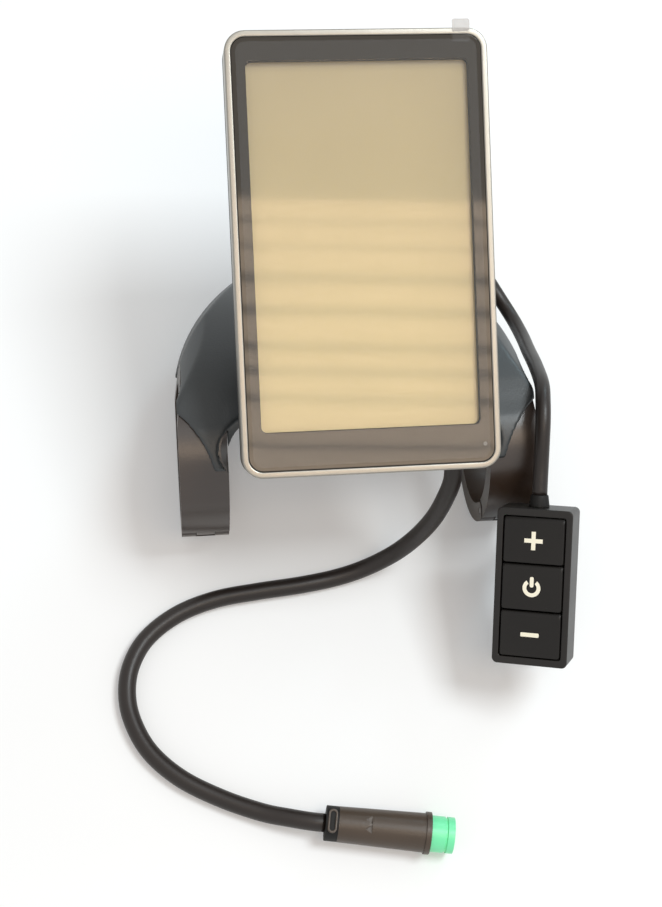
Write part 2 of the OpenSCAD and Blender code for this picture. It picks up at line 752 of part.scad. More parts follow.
module pad_entry() color([0.06, 0.06, 0.06]) on_pad()
  translate([0, pad_l / 2 - entry_in, -entry_z]) rotate([-90, 0, 0]) {
    cylinder(r = entry_tip_r, h = entry_in);
    translate([0, 0, entry_in]) cylinder(r1 = entry_r, r2 = entry_tip_r, h = entry_l);
  }

module pad_case() color([0.13, 0.12, 0.12]) on_pad() difference() {
  union() {
    difference() {
      slab(pad_w, pad_l, pad_round, 0, pad_t);
      slab(pad_w - 2 * pad_wall, pad_l - 2 * pad_wall, pad_wall / 2, pad_front_t, pad_t + over);
    }
    for (x = [-1, 1], y = [-1, 1]) pad_boss(x, y);
  }
  translate([0, 0, -pad_front_t - over]) linear_extrude(pad_front_t + 2 * over)
    round_flat(key_open_w, key_open_l, pad_round / 2);
  translate([0, pad_l / 2 + over, -entry_z]) rotate([90, 0, 0]) cylinder(r = entry_tip_r + slack / 2, h = pad_wall + 2 * over);
}

// A screw boss behind the keys, joined to the end wall
module pad_boss(x, y) {
  h = pad_t - base_t - pad_boss_z;
  translate([x * pad_boss_x, y * pad_boss_y, -pad_boss_z - h]) difference() {
    union() {
      cylinder(r = pad_boss_r, h = h);
      translate([-pad_boss_r, y > 0 ? 0 : pad_boss_y - pad_l / 2 + pad_wall / 2, 0])
        cube([2 * pad_boss_r, pad_l / 2 - pad_wall / 2 - pad_boss_y, h]);
    }
    translate([0, 0, -over]) cylinder(r = small_screw_r + screw_slack, h = h);
  }
}

// Base plate with the upper half of the small clamp ring
module pad_base() color([0.11, 0.11, 0.11]) on_pad() {
  difference() {
    union() {
      slab(pad_w - 2 * pad_wall - seam, pad_l - 2 * pad_wall - seam, pad_wall / 2, pad_t - base_t, pad_t);
      translate([0, 0, -pad_axis]) {
        along_x(pad_ring_r, pad_ring_w);
        translate([0, pad_lug_y, seam / 2]) cylinder(r = pad_lug_r, h = pad_lug_t);
        translate([-pad_lug_r, pad_lug_y, seam / 2]) cube([2 * pad_lug_r, -pad_lug_y - grip_r, pad_lug_t]);
      }
    }
    translate([-pad_w / 2, -pad_l / 2, seam / 2 - pad_axis - pad_axis]) cube([pad_w, pad_l, pad_axis]);
    translate([0, 0, -pad_axis]) {
      along_x(grip_r, pad_w);
      pad_cap_knuckles(pad_knuckle_clear, over);
      translate([0, pad_knuckle_y, 0]) along_x(pad_pin_r + screw_slack / 2, pad_w);
      translate([0, pad_lug_y, -over]) cylinder(r = pad_insert_r + screw_slack, h = over + seam + pad_insert_l);
    }
    for (x = [-1, 1], y = [-1, 1]) translate([x * pad_boss_x, y * pad_boss_y, -pad_t - over])
      cylinder(r = small_screw_r + screw_slack, h = base_t + 2 * over);
    for (x = [-1, 1], y = [-1, 1]) translate([x * pad_boss_x, y * pad_boss_y, -pad_t - over])
      cylinder(r = small_head_r + slack, h = over + small_head_t);
  }
  translate([0, pad_knuckle_y, -pad_axis]) difference() {
    along_x(pad_knuckle_r, pad_knuckle_mid);
    along_x(pad_pin_r + screw_slack / 2, pad_w);
  }
  for (s = [-1, 1]) translate([0, s * (mat_l / 2 - pad_post_r), -pad_t + base_t - over / 2])
    cylinder(r = pad_post_r, h = pad_t - base_t - pad_board_z - pad_board_t + over / 2);
}

module pad_cap_knuckles(r, more) {
  w = (pad_ring_w - pad_knuckle_mid) / 2 - seam;
  for (s = [-1, 1]) translate([s * (pad_knuckle_mid / 2 + seam + w / 2 + more / 2 - slack), pad_knuckle_y, 0])
    along_x(r, w + more);
}

// Lower half of the small clamp ring, hinged at the far side
module pad_cap() color([0.10, 0.10, 0.10]) on_pad() translate([0, 0, -pad_axis]) difference() {
  union() {
    difference() {
      union() {
        along_x(pad_ring_r, pad_ring_w);
        translate([0, pad_lug_y, -pad_lug_t]) cylinder(r = pad_lug_r, h = pad_lug_t);
        translate([-pad_lug_r, pad_lug_y, -pad_lug_t]) cube([2 * pad_lug_r, -pad_lug_y - grip_r, pad_lug_t]);
      }
      along_x(grip_r, pad_w);
      translate([-pad_w / 2, -pad_l / 2, -seam / 2]) cube([pad_w, pad_l, pad_axis]);
      translate([0, pad_knuckle_y, 0]) along_x(pad_knuckle_clear, pad_knuckle_mid + 2 * seam);
    }
    pad_cap_knuckles(pad_knuckle_r, 0);
  }
  translate([0, pad_knuckle_y, 0]) along_x(pad_pin_r + screw_slack, pad_w);
  translate([0, pad_lug_y, -pad_axis]) cylinder(r = pad_hole_r, h = pad_axis + over);
  translate([0, pad_lug_y, -pad_axis]) cylinder(r = pad_head_r + slack, h = pad_axis - pad_lug_t + over / 2);
}

module pad_pin() color([0.70, 0.70, 0.71]) on_pad() translate([0, pad_knuckle_y, -pad_axis])
  along_x(pad_pin_r, pad_ring_w - seam);

module pad_insert() color([0.78, 0.62, 0.28]) on_pad() translate([0, pad_lug_y, -pad_axis + seam]) difference() {
  cylinder(r = pad_insert_r, h = pad_insert_l);
  translate([0, 0, -over]) cylinder(r = pad_insert_bore_r, h = pad_insert_l + 2 * over);
}

module pad_cap_screw() color([0.72, 0.72, 0.73]) on_pad() translate([0, pad_lug_y, -pad_axis]) difference() {
  union() {
    translate([0, 0, -pad_lug_t + over / 2 - pad_head_t]) cylinder(r = pad_head_r, h = pad_head_t);
    translate([0, 0, -pad_lug_t]) cylinder(r = pad_screw_r, h = pad_lug_t + pad_screw_reach);
  }
  translate([0, 0, -pad_lug_t - pad_head_t]) cylinder(r = pad_screw_r, h = pad_head_t, $fn = 6);
}

module key_mat() color([0.20, 0.20, 0.21]) on_pad() slab(mat_w, mat_l, pad_wall, mat_z, switch_z);

module pad_board() color([0.05, 0.30, 0.16]) on_pad()
  slab(mat_w, mat_l, pad_wall / 2, pad_board_z, pad_board_z + pad_board_t);

module pad_switches() color([0.80, 0.80, 0.78]) on_pad() for (k = [-1:1])
  translate([0, k * key_pitch, -pad_board_z + switch_t / 2]) cube([switch_w, switch_w, switch_t], center = true);

module pad_screws() color([0.60, 0.60, 0.61]) on_pad()
  for (x = [-1, 1], y = [-1, 1]) translate([x * pad_boss_x, y * pad_boss_y, -pad_t]) difference() {
    union() {
      cylinder(r = small_head_r, h = small_head_t);
      cylinder(r = small_screw_r, h = pad_t - pad_boss_z - over);
    }
    translate([0, 0, -over]) cylinder(r = small_screw_r, h = over + small_head_t / 2, $fn = 6);
  }

// A key: a bevelled block with two side flanges that hold it behind the front wall
module key(row) {
  translate([0, row * key_pitch, 0]) difference() {
    union() {
      slab(key_w, key_l, key_round, key_bevel - key_proud, key_bottom);
      translate([0, 0, -key_bevel + key_proud]) hull() {
        linear_extrude(slack) round_flat(key_w, key_l, key_round, $fn = 24);
        linear_extrude(key_bevel) round_flat(key_w - key_bevel, key_l - 2 * key_bevel, key_round, $fn = 24);
      }
      slab(key_open_w + 2 * key_flange, key_l - 2 * key_bevel, key_round, pad_front_t + key_rest, key_bottom);
    }
    translate([0, 0, key_proud - mark_deep]) linear_extrude(mark_deep + over) children();
  }
}

module button_plus() color([0.13, 0.12, 0.12]) on_pad() key(1) {
  square([mark_w, mark_t], center = true);
  square([mark_t, mark_w], center = true);
}

module button_power() color([0.13, 0.12, 0.12]) on_pad() key(0) {
  difference() {
    circle(r = power_r);
    circle(r = power_r - mark_t);
    polygon([[0, 0], power_r * 2 * [-sin(power_open), cos(power_open)], power_r * 2 * [sin(power_open), cos(power_open)]]);
  }
  translate([-mark_t / 2, 0]) square([mark_t, power_r + mark_t / 2]);
}

module button_minus() color([0.13, 0.12, 0.12]) on_pad() key(-1) square([mark_w, mark_t], center = true);

// The arch's outer form: wide at its foot and its shoulder, and drawn in above that to a crease
module arch_form(less) {
  hull() {
    translate([0, arch_low_y, arch_floor - over * sign(less)]) cylinder(r = arch_r - less, h = slack, $fn = 120);
    translate([0, arch_mid_y, arch_mid]) cylinder(r = arch_r + arch_mid_more - less, h = slack, $fn = 120);
    translate([0, arch_high_y, arch_high]) cylinder(r = arch_r + arch_high_more - less, h = slack, $fn = 120);
  }
}

module arch() color([0.10, 0.11, 0.12]) difference() {
  union() {
    difference() {
      intersection() {
        arch_form(0);
        crown(0);
      }
      difference() {
        intersection() {
          arch_form(arch_wall);
          crown(arch_wall);
          translate([-hollow_x, hollow_y, arch_floor - 2 * over]) cube([2 * hollow_x, 2 * arch_r, arch_high - arch_floor]);
        }
        for (s = [-1, 1]) translate([s * saddle_r - arch_wall / 2, 0, arch_floor]) cube([arch_wall, 2 * arch_r, far_out]);
      }
    }
    translate([0, hinge_y, arch_floor]) cylinder(r = saddle_r, h = saddle_top - arch_floor);
    translate([0, heel_y + heel_l / 2, -ring_r]) linear_extrude(ring_r + arch_floor + arch_wall)
      round_flat(heel_w, heel_l, heel_round);
  }
  notch();
  translate([-far_out, notch_front - far_out, -far_out]) cube([2 * far_out, far_out, 2 * far_out]);
  along_x(bar_r + bar_gap, 2 * ring_in - seam);
  for (s = [-1, 1]) {
    translate([s * petal_x, petal_y, 0]) cylinder(r = petal_r, h = far_out);
    on_clamp(s) {
      translate([s * ring_w, 0, 0]) along_x(ring_r + ring_gap, 3 * ring_w + seam);
      clamp_room(s);
      translate([-s * lug_in, lug_y, lug_gap - over]) cylinder(r = insert_r + screw_slack, h = insert_l + over + slack);
      translate([-s * jaw_screw_in, 0, 0]) rotate([jaw_screw_turn, 0, 0]) rotate([-90, 0, 0])
        cylinder(r = jaw_screw_r + screw_slack, h = bar_r + jaw_screw_l + seam);
    }
  }
  translate([0, hinge_y, saddle_top]) cylinder(r = yoke_r + slack, h = far_out);
  translate([0, hinge_y, arch_floor - over]) {
    cylinder(r = yoke_bolt_r + slack, h = far_out);
    cylinder(r = yoke_head_r + slack, h = over + yoke_head_t);
  }
}

// The crown in section: a broad curve over the back, closer round the rings at the front
module crown(less) {
  rotate([90, 0, 90]) translate([0, 0, -arch_r]) linear_extrude(2 * arch_r) intersection() {
    translate([0, ring_r + cover_over - dome_r]) circle(r = dome_r - less, $fn = 160);
    union() {
      circle(r = ring_r + cover_over - less, $fn = 96);
      translate([0, -far_out]) square([far_out, 2 * far_out]);
    }
  }
}

module notch_line(x, y, r) {
  translate([-x, y - r - far_out]) square([2 * x, far_out]);
  translate([-x + r, y - far_out]) square([2 * x - 2 * r, far_out]);
  for (s = [-1, 1]) translate([s * (x - r), y - r]) circle(r = r);
}

// The open front where the stem stands: its wall leans out to a sharper top edge
module notch() {
  translate([0, 0, -far_out]) linear_extrude(far_out + notch_low_z) notch_line(notch_low_x, notch_low_y, notch_low_round);
  hull() {
    translate([0, 0, notch_low_z]) linear_extrude(slack) notch_line(notch_low_x, notch_low_y, notch_low_round);
    translate([0, 0, notch_top_z]) linear_extrude(far_out) notch_line(notch_x, notch_y, notch_round);
  }
}

// Room under the split for the cap, its lug and the bar, in the clamp's frame
module clamp_room(s) {
  deep = 2 * ring_r;
  lug_half = lug_r + lug_room;
  translate([s > 0 ? -ring_w / 2 - seam : -3 * ring_w, -ring_r - lug_r, -deep])
    cube([3 * ring_w + ring_w / 2 + seam, 2 * ring_r + lug_r + ring_gap, deep + lug_gap - seam]);
  translate([-s * lug_in, 0, -deep]) {
    translate([0, lug_y, 0]) cylinder(r = lug_half, h = deep + lug_gap - seam);
    translate([-lug_half, 0, 0]) cube([2 * lug_half, lug_y, deep + lug_gap - seam]);
  }
  translate([s > 0 ? -ring_x : -over, -bar_r - over, -deep]) cube([ring_x + over, 2 * (bar_r + over), deep]);
}

// The outer back corner of a ring, cut to lie inside the arch's side
module ring_trim(s) {
  rotate([0, 0, s * trim_turn]) rotate([0, -s * trim_lean, 0])
    translate([s > 0 ? trim_out : -trim_out - ring_r, -2 * ring_r, -2 * ring_r]) cube([ring_r, 4 * ring_r, 4 * ring_r]);
}

module clamp_jaw(s) {
  on_clamp(s) difference() {
    union() {
      difference() {
        along_x(ring_r, ring_w);
        translate([-ring_w, -2 * ring_r, seam / 2 - 2 * ring_r]) cube([2 * ring_w, 4 * ring_r, 2 * ring_r]);
        cap_knuckles(knuckle_clear, over);
      }
      translate([0, knuckle_y, 0]) along_x(knuckle_r, knuckle_mid);
    }
    along_x(bar_r, 2 * ring_w);
    translate([0, knuckle_y, 0]) along_x(pin_r + screw_slack / 2, 2 * ring_w);
    translate([-s * jaw_screw_in, 0, 0]) rotate([jaw_screw_turn, 0, 0]) rotate([-90, 0, 0]) {
      cylinder(r = jaw_screw_r + screw_slack, h = ring_r + over);
      cylinder(r = jaw_screw_head_r + slack, h = bar_r + jaw_screw_head_t);
    }
  }
}

module cap_knuckles(r, more) {
  w = (ring_w - knuckle_mid) / 2 - seam;
  for (s = [-1, 1]) translate([s * (knuckle_mid / 2 + seam + w / 2 + more / 2 - (more > 0 ? slack : 0)), knuckle_y, 0])
    along_x(r, w + more);
}

// A jaw keeps inside the arch: its back corner and the top of its inner edge are cut to it
module fitted_jaw(s) {
  difference() {
    clamp_jaw(s);
    ring_trim(s);
    intersection() {
      notch();
      translate([-far_out, notch_front, bar_r + slack]) cube(2 * far_out);
    }
  }
}

module clamp_jaw_left() color([0.13, 0.12, 0.11]) fitted_jaw(-1);
module clamp_jaw_right() color([0.13, 0.12, 0.11]) fitted_jaw(1);

// Lower half of a clamp ring, with the lug that its screw passes
module clamp_cap(s) {
  on_clamp(s) difference() {
    union() {
      difference() {
        union() {
          along_x(ring_r, ring_w);
          translate([-s * lug_in, lug_y, -lug_t]) cylinder(r = lug_r, h = lug_t - seam / 2);
          translate([-s * lug_in - lug_r, bar_r, -lug_t]) cube([2 * lug_r, lug_y - bar_r, lug_t - seam / 2]);
        }
        translate([-ring_w, -2 * ring_r, -seam / 2]) cube([2 * ring_w, 4 * ring_r, 2 * ring_r]);
        translate([0, knuckle_y, 0]) along_x(knuckle_clear, knuckle_mid + 2 * seam);
      }
      cap_knuckles(knuckle_r, 0);
    }
    along_x(bar_r, 2 * ring_w);
    translate([0, knuckle_y, 0]) along_x(pin_r + screw_slack, 2 * ring_w);
    translate([-s * lug_in, lug_y, -lug_t - over]) cylinder(r = clamp_hole_r, h = lug_t + 2 * over);
  }
}

module clamp_cap_left() color([0.12, 0.11, 0.11]) difference() {
  clamp_cap(-1);
  ring_trim(-1);
}
module clamp_cap_right() color([0.12, 0.11, 0.11]) difference() {
  clamp_cap(1);
  ring_trim(1);
}

module clamp_screw(s) {
  on_clamp(s) translate([-s * lug_in, lug_y, 0]) difference() {
    union() {
      translate([0, 0, -lug_t - clamp_head_t]) cylinder(r = clamp_head_r, h = clamp_head_t);
      translate([0, 0, -lug_t]) cylinder(r = clamp_screw_r, h = lug_t + screw_reach);
    }
    translate([0, 0, -lug_t - clamp_head_t - over]) cylinder(r = clamp_screw_r, h = over + clamp_head_t / 2, $fn = 6);
  }
}

module clamp_screw_left() color([0.55, 0.55, 0.56]) clamp_screw(-1);
module clamp_screw_right() color([0.55, 0.55, 0.56]) clamp_screw(1);

module clamp_pins() color([0.70, 0.70, 0.71]) for (s = [-1, 1]) on_clamp(s)
  translate([0, knuckle_y, 0]) along_x(pin_r, ring_w - seam);

module clamp_inserts() color([0.78, 0.62, 0.28]) for (s = [-1, 1]) on_clamp(s)
  translate([-s * lug_in, lug_y, lug_gap]) difference() {
    cylinder(r = insert_r, h = insert_l);
    translate([0, 0, -over]) cylinder(r = insert_bore_r, h = insert_l + 2 * over);
  }

module jaw_screws() color([0.40, 0.40, 0.41]) for (s = [-1, 1]) on_clamp(s)
  translate([-s * jaw_screw_in, 0, 0]) rotate([jaw_screw_turn, 0, 0]) rotate([-90, 0, 0])
  translate([0, 0, bar_r + slack]) difference() {
    union() {
      cylinder(r1 = jaw_screw_head_r, r2 = jaw_screw_r, h = jaw_screw_head_t);
      cylinder(r = jaw_screw_r, h = jaw_screw_l);
    }
    translate([0, 0, -over]) cylinder(r = small_screw_r, h = over + small_head_t, $fn = 6);
  }

module tilt_yoke() color([0.10, 0.10, 0.11]) difference() {
  union() {
    translate([0, hinge_y, saddle_top]) cylinder(r = yoke_r, h = yoke_base_t);
    for (s = [-1, 1]) translate([s * (tongue_w / 2 + ear_gap + ear_w / 2), hinge_y, 0]) {
      translate([0, 0, hinge_z]) along_x(ear_r, ear_w);
      translate([-ear_w / 2, -ear_r, saddle_top + over / 2]) cube([ear_w, 2 * ear_r, hinge_z - saddle_top - over / 2]);
    }
  }
  translate([0, hinge_y, hinge_z]) along_x(hinge_bolt_r + screw_slack, 4 * yoke_r);
  translate([0, hinge_y, saddle_top - over]) cylinder(r = yoke_bolt_r + screw_slack, h = yoke_base_t + 2 * over);
}

module yoke_bolt() color([0.55, 0.55, 0.56]) translate([0, hinge_y, arch_floor]) difference() {
  union() {
    cylinder(r = yoke_head_r, h = yoke_head_t);
    cylinder(r = yoke_bolt_r, h = saddle_top - arch_floor + yoke_base_t);
  }
  translate([0, 0, -over]) cylinder(r = hex_key_r, h = over + hex_key_t, $fn = 6);
}

ear_out = tongue_w / 2 + ear_gap + ear_w;

module tilt_bolt() color([0.55, 0.55, 0.56]) translate([-ear_out - washer_t - nut_t, hinge_y, hinge_z])
  rotate([0, 90, 0]) difference() {
    union() {
      cylinder(r = hinge_bolt_r, h = 2 * (ear_out + washer_t) + nut_t);
      translate([0, 0, 2 * (ear_out + washer_t) + nut_t]) cylinder(r = bolt_head_r, h = bolt_head_t);
    }
    translate([0, 0, 2 * (ear_out + washer_t) + nut_t + bolt_head_t - hex_key_t]) cylinder(r = hex_key_r, h = hex_key_t + over, $fn = 6);
  }

module tilt_nut() color([0.60, 0.60, 0.61]) translate([-ear_out - washer_t - nut_t, hinge_y, hinge_z])
  rotate([0, 90, 0]) difference() {
    cylinder(r = nut_r, h = nut_t, $fn = 6);
    translate([0, 0, -over]) cylinder(r = hinge_bolt_r + screw_slack, h = nut_t + 2 * over);
  }

module tilt_washers() color([0.65, 0.65, 0.66]) for (s = [-1, 1])
  translate([s * (ear_out + washer_t / 2), hinge_y, hinge_z]) difference() {
    along_x(washer_r, washer_t);
    along_x(hinge_bolt_r + screw_slack, washer_t + over);
  }

front_frame();
cover_glass();
screen_film();
lens_gasket();
lcd_panel();
backlight();
lcd_carrier();
ribbon_cable();
light_sensor();
main_board();
board_parts();
board_screws();
buzzer();
back_cover();
case_seal();
case_screws();
tilt_tongue();
tongue_screws();
main_gland();
pad_gland();
main_lead();
plug_collar();
plug_body();
plug_nose();
plug_seal();
plug_contacts();
pad_lead();
pad_entry();
pad_case();
pad_base();
key_mat();
pad_board();
pad_switches();
pad_screws();
pad_pin();
pad_insert();
button_plus();
button_power();
button_minus();
pad_cap();
pad_cap_screw();
arch();
tilt_yoke();
yoke_bolt();
tilt_bolt();
tilt_nut();
tilt_washers();
jaw_screws();
clamp_jaw_left();
clamp_jaw_right();
clamp_pins();
clamp_inserts();
clamp_cap_left();
clamp_cap_right();
clamp_screw_left();
clamp_screw_right();
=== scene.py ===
"""Looks of a handlebar display for an electric bicycle: screen, arch bracket, key pad and leads.

Run as a script inside Blender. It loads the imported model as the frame, makes the visible
pieces around it one operator at a time, and sets up the stage and the camera.
"""

import json
import math

import bmesh
import bpy
import numpy as np
from bpy.props import FloatProperty, FloatVectorProperty, IntProperty, PointerProperty
from mathutils import Matrix


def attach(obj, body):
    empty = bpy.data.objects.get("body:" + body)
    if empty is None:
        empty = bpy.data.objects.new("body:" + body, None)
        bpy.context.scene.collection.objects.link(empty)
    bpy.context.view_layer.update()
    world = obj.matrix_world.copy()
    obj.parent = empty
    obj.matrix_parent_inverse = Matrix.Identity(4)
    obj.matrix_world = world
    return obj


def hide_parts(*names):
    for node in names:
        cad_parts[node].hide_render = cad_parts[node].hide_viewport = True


bl_info = {
    "name": "E-bike display",
    "version": (1, 0, 0),
    "blender": (4, 5, 0),
    "location": "3D View > Sidebar > Display",
    "description": "Makes the visible pieces of a handlebar display around its packed frame",
    "category": "Object",
}

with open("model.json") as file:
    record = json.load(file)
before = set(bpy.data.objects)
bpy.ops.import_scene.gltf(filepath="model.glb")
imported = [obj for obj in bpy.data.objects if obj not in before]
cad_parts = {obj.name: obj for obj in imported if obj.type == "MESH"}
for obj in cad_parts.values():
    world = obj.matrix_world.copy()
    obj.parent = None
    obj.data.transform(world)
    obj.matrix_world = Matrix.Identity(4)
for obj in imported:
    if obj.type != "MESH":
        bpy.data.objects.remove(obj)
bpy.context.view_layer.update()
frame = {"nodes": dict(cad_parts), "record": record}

MM = 0.001
NODES = frame["nodes"]
BODIES = frame["record"]["behaviour"]["bodies"]
BODY_OF = {node: body for body, nodes in BODIES.items() for node in nodes}


# Frames of the separate assemblies, in millimetres, as the solids have them

def turned(x_deg, y_deg, z_deg):
    """Rotation about X, then Y, then Z, by these degrees."""
    x, y, z = np.radians([x_deg, y_deg, z_deg])
    about_x = np.array([[1, 0, 0], [0, np.cos(x), -np.sin(x)], [0, np.sin(x), np.cos(x)]])
    about_y = np.array([[np.cos(y), 0, np.sin(y)], [0, 1, 0], [-np.sin(y), 0, np.cos(y)]])
    about_z = np.array([[np.cos(z), -np.sin(z), 0], [np.sin(z), np.cos(z), 0], [0, 0, 1]])
    return about_z @ about_y @ about_x


TILT_DEG = 24.5
HEAD = (np.array([0, 21, 54.5]), turned(TILT_DEG, 0, 0))
PAD = (np.array([36.7, -42, 11.3]), turned(29.4, -20.2, -15.2))
PLUG = (np.array([-11.9, -86.8, -15.6]), turned(0, 0, -10) @ turned(0, 90, 0))
TABLE_Z = -20.4


def placed(points, place):
    """Points given in an assembly's frame, in millimetres, as row-frame metres: turn, then move."""
    origin, turn = place
    return (np.asarray(points, float) @ turn.T + origin) * MM


# Mesh makers

# Share of a short side that its rounding may take up
NEAR_MIDDLE = 0.45
# Points closer than this become one, in a new mesh and in a copy of a solid
WELD_M = 1e-7
LOOSE_WELD_M = 2e-6
# Faces that meet at less than the first angle become one; edges sharper than the second are rounded
FLAT_DEG = 1
SHARP_DEG = 35


def outline(width, height, radius, across=(0.0, 0.0), corner_steps=9):
    """A rounded rectangle's points, anticlockwise: each corner is a quarter circle about a centre
    one radius in from both sides, and the straight sides join the quarters."""
    radius = min(radius, width / 2, height / 2)
    angle = np.linspace(0, np.pi / 2, corner_steps)
    quarter = np.arange(4)[:, None] * np.pi / 2 + angle[None, :]
    side_x = np.array([1, -1, -1, 1])[:, None] * (width / 2 - radius)
    side_y = np.array([1, 1, -1, -1])[:, None] * (height / 2 - radius)
    x = side_x + radius * np.cos(quarter) + across[0]
    y = side_y + radius * np.sin(quarter) + across[1]
    return np.stack([x.ravel(), y.ravel()], axis=1)


def eased(rows, ease, loop, steps=3):
    """Rows of (width, height, radius, z, x, y) with each turn of the profile rounded: a quadratic
    curve runs from a point one ease before the corner to a point one ease after it, or from a
    little before the middle of a short side."""
    rows = np.asarray([tuple(r) + (0.0,) * (6 - len(r)) for r in rows], float)
    made = []
    for i, here in enumerate(rows):
        if not loop and i in (0, len(rows) - 1):
            made.append(here)
            continue
        before, after = rows[i - 1], rows[(i + 1) % len(rows)]
        sides = []
        for other in (before, after):
            step = other - here
            reach = math.hypot(max(abs(step[0]), abs(step[1])) / 2, step[3])
            sides.append(here + step * min(NEAR_MIDDLE, ease / max(reach, 1e-6)))
        t = np.linspace(0, 1, steps + 1)[:, None]
        made.extend((1 - t) ** 2 * sides[0] + 2 * t * (1 - t) * here + t ** 2 * sides[1])
    return made


def quads(rows, columns, loop_rows):
    """Corner numbers of the faces of a grid whose columns close on themselves."""
    r = np.arange(rows if loop_rows else rows - 1)[:, None]
    c = np.arange(columns)[None, :]
    r2, c2 = (r + 1) % rows, (c + 1) % columns
    corners = [r * columns + c, r * columns + c2, r2 * columns + c2, r2 * columns + c]
    return np.stack([k + 0 * (r + c) for k in corners], axis=-1).reshape(-1, 4)


def finished_mesh(name, points, faces, material, smooth=True):
    """A mesh object at the origin from points in metres, faces outwards, with one material."""
    mesh = bpy.data.meshes.new(name)
    mesh.from_pydata(np.asarray(points).tolist(), [], [list(map(int, f)) for f in faces])
    shell = bmesh.new()
    shell.from_mesh(mesh)
    bmesh.ops.remove_doubles(shell, verts=shell.verts, dist=WELD_M)
    bmesh.ops.recalc_face_normals(shell, faces=shell.faces)
    shell.to_mesh(mesh)
    shell.free()
    mesh.polygons.foreach_set("use_smooth", [smooth] * len(mesh.polygons))
    obj = bpy.data.objects.new(name, mesh)
    bpy.context.collection.objects.link(obj)
    mesh.materials.append(material)
    return obj


def even_light(obj):
    """Flat faces keep a flat shine beside their rounded edges."""
    weigh = obj.modifiers.new("even_light", "WEIGHTED_NORMAL")
    weigh.weight = 100
    return obj


def stacked(name, rows, place, material, ease, loop=False):
    """Rounded outlines joined one to the next: row k of the grid is the outline of rows[k] at its
    height z. A loop joins the last to the first, and otherwise flat faces close both ends."""
    rows = eased(rows, ease, loop)
    rings = [outline(r[0], r[1], r[2], (r[4], r[5])) for r in rows]
    grid = np.stack([np.column_stack([ring, np.full(len(ring), r[3])]) for ring, r in zip(rings, rows)])
    count, columns = grid.shape[:2]
    faces = quads(count, columns, loop).tolist()
    if not loop:
        faces += [list(range(columns)), list(range((count - 1) * columns, count * columns))]
    return even_light(finished_mesh(name, placed(grid.reshape(-1, 3), place), faces, material))


def cut_plate(name, shapes, low, high, place, material):
    """Flat plates between two heights: each shape is a closed line of points in the face's plane."""
    points, faces = [], []
    for shape in shapes:
        start, count = len(points), len(shape)
        shape = np.asarray(shape, float)
        for z in (low, high):
            points.extend(np.column_stack([shape, np.full(count, z)]))
        faces += (quads(2, count, False) + start).tolist()
        faces += [list(range(start, start + count)), list(range(start + count, start + 2 * count))]
    return finished_mesh(name, placed(points, place), faces, material, smooth=False)


def smooth_path(points, spacing, fine_steps=24, fewest=8):
    """A curve through the points: between two of them a cubic whose slope at each point is half
    the step between its neighbours, sampled at an even spacing along its length."""
    p = np.asarray(points, float)
    p = np.vstack([2 * p[0] - p[1], p, 2 * p[-1] - p[-2]])
    t = np.linspace(0, 1, fine_steps, endpoint=False)[None, :, None]
    a, b, c, d = (p[k:len(p) - 3 + k][:, None, :] for k in range(4))
    fine = 0.5 * (2 * b + (c - a) * t + (2 * a - 5 * b + 4 * c - d) * t ** 2
                  + (3 * b - a - 3 * c + d) * t ** 3)
    fine = np.vstack([fine.reshape(-1, 3), p[-2]])
    run = np.concatenate([[0], np.cumsum(np.linalg.norm(np.diff(fine, axis=0), axis=1))])
    even = np.linspace(0, run[-1], max(fewest, int(round(run[-1] / spacing))))
    return np.stack([np.interp(even, run, fine[:, k]) for k in range(3)], axis=1), run[-1]


def side_ways(path):
    """A direction across the path at each point, carried along it without twisting."""
    along = np.gradient(path, axis=0)
    along /= np.linalg.norm(along, axis=1)[:, None]
    across = np.zeros_like(along)
    start = np.cross(along[0], [0, 0, 1.0])
    across[0] = start / max(np.linalg.norm(start), 1e-9)
    for i in range(1, len(path)):
        v = across[i - 1] - along[i] * (across[i - 1] @ along[i])
        across[i] = v / np.linalg.norm(v)
    return across, np.cross(along, across)


def tube(name, path, radius, material, sides=28):
    """A round tube: at each path point a circle of that radius, square to the path, with a UV map
    whose U goes once round and whose V is the length in centimetres."""
    across, up = side_ways(path)
    angle = np.linspace(0, 2 * np.pi, sides, endpoint=False)
    turns = np.cos(angle)[None, :, None] * across[:, None] + np.sin(angle)[None, :, None] * up[:, None]
    ring = radius * turns
    grid = path[:, None, :] + ring
    faces = quads(len(path), sides, False).tolist()
    faces += [list(range(sides)), list(range((len(path) - 1) * sides, len(path) * sides))]
    obj = finished_mesh(name, grid.reshape(-1, 3) * MM, faces, material)
    run = np.concatenate([[0], np.cumsum(np.linalg.norm(np.diff(path, axis=0), axis=1))]) / 10
    turn = np.arange(sides) / sides
    uv = np.stack(np.meshgrid(turn, run), axis=-1).reshape(-1, 2)
    corner = np.zeros(len(obj.data.loops), np.int32)
    obj.data.loops.foreach_get("vertex_index", corner)
    layer = obj.data.uv_layers.new(name="along")
    layer.data.foreach_set("uv", uv[corner].ravel())
    return obj


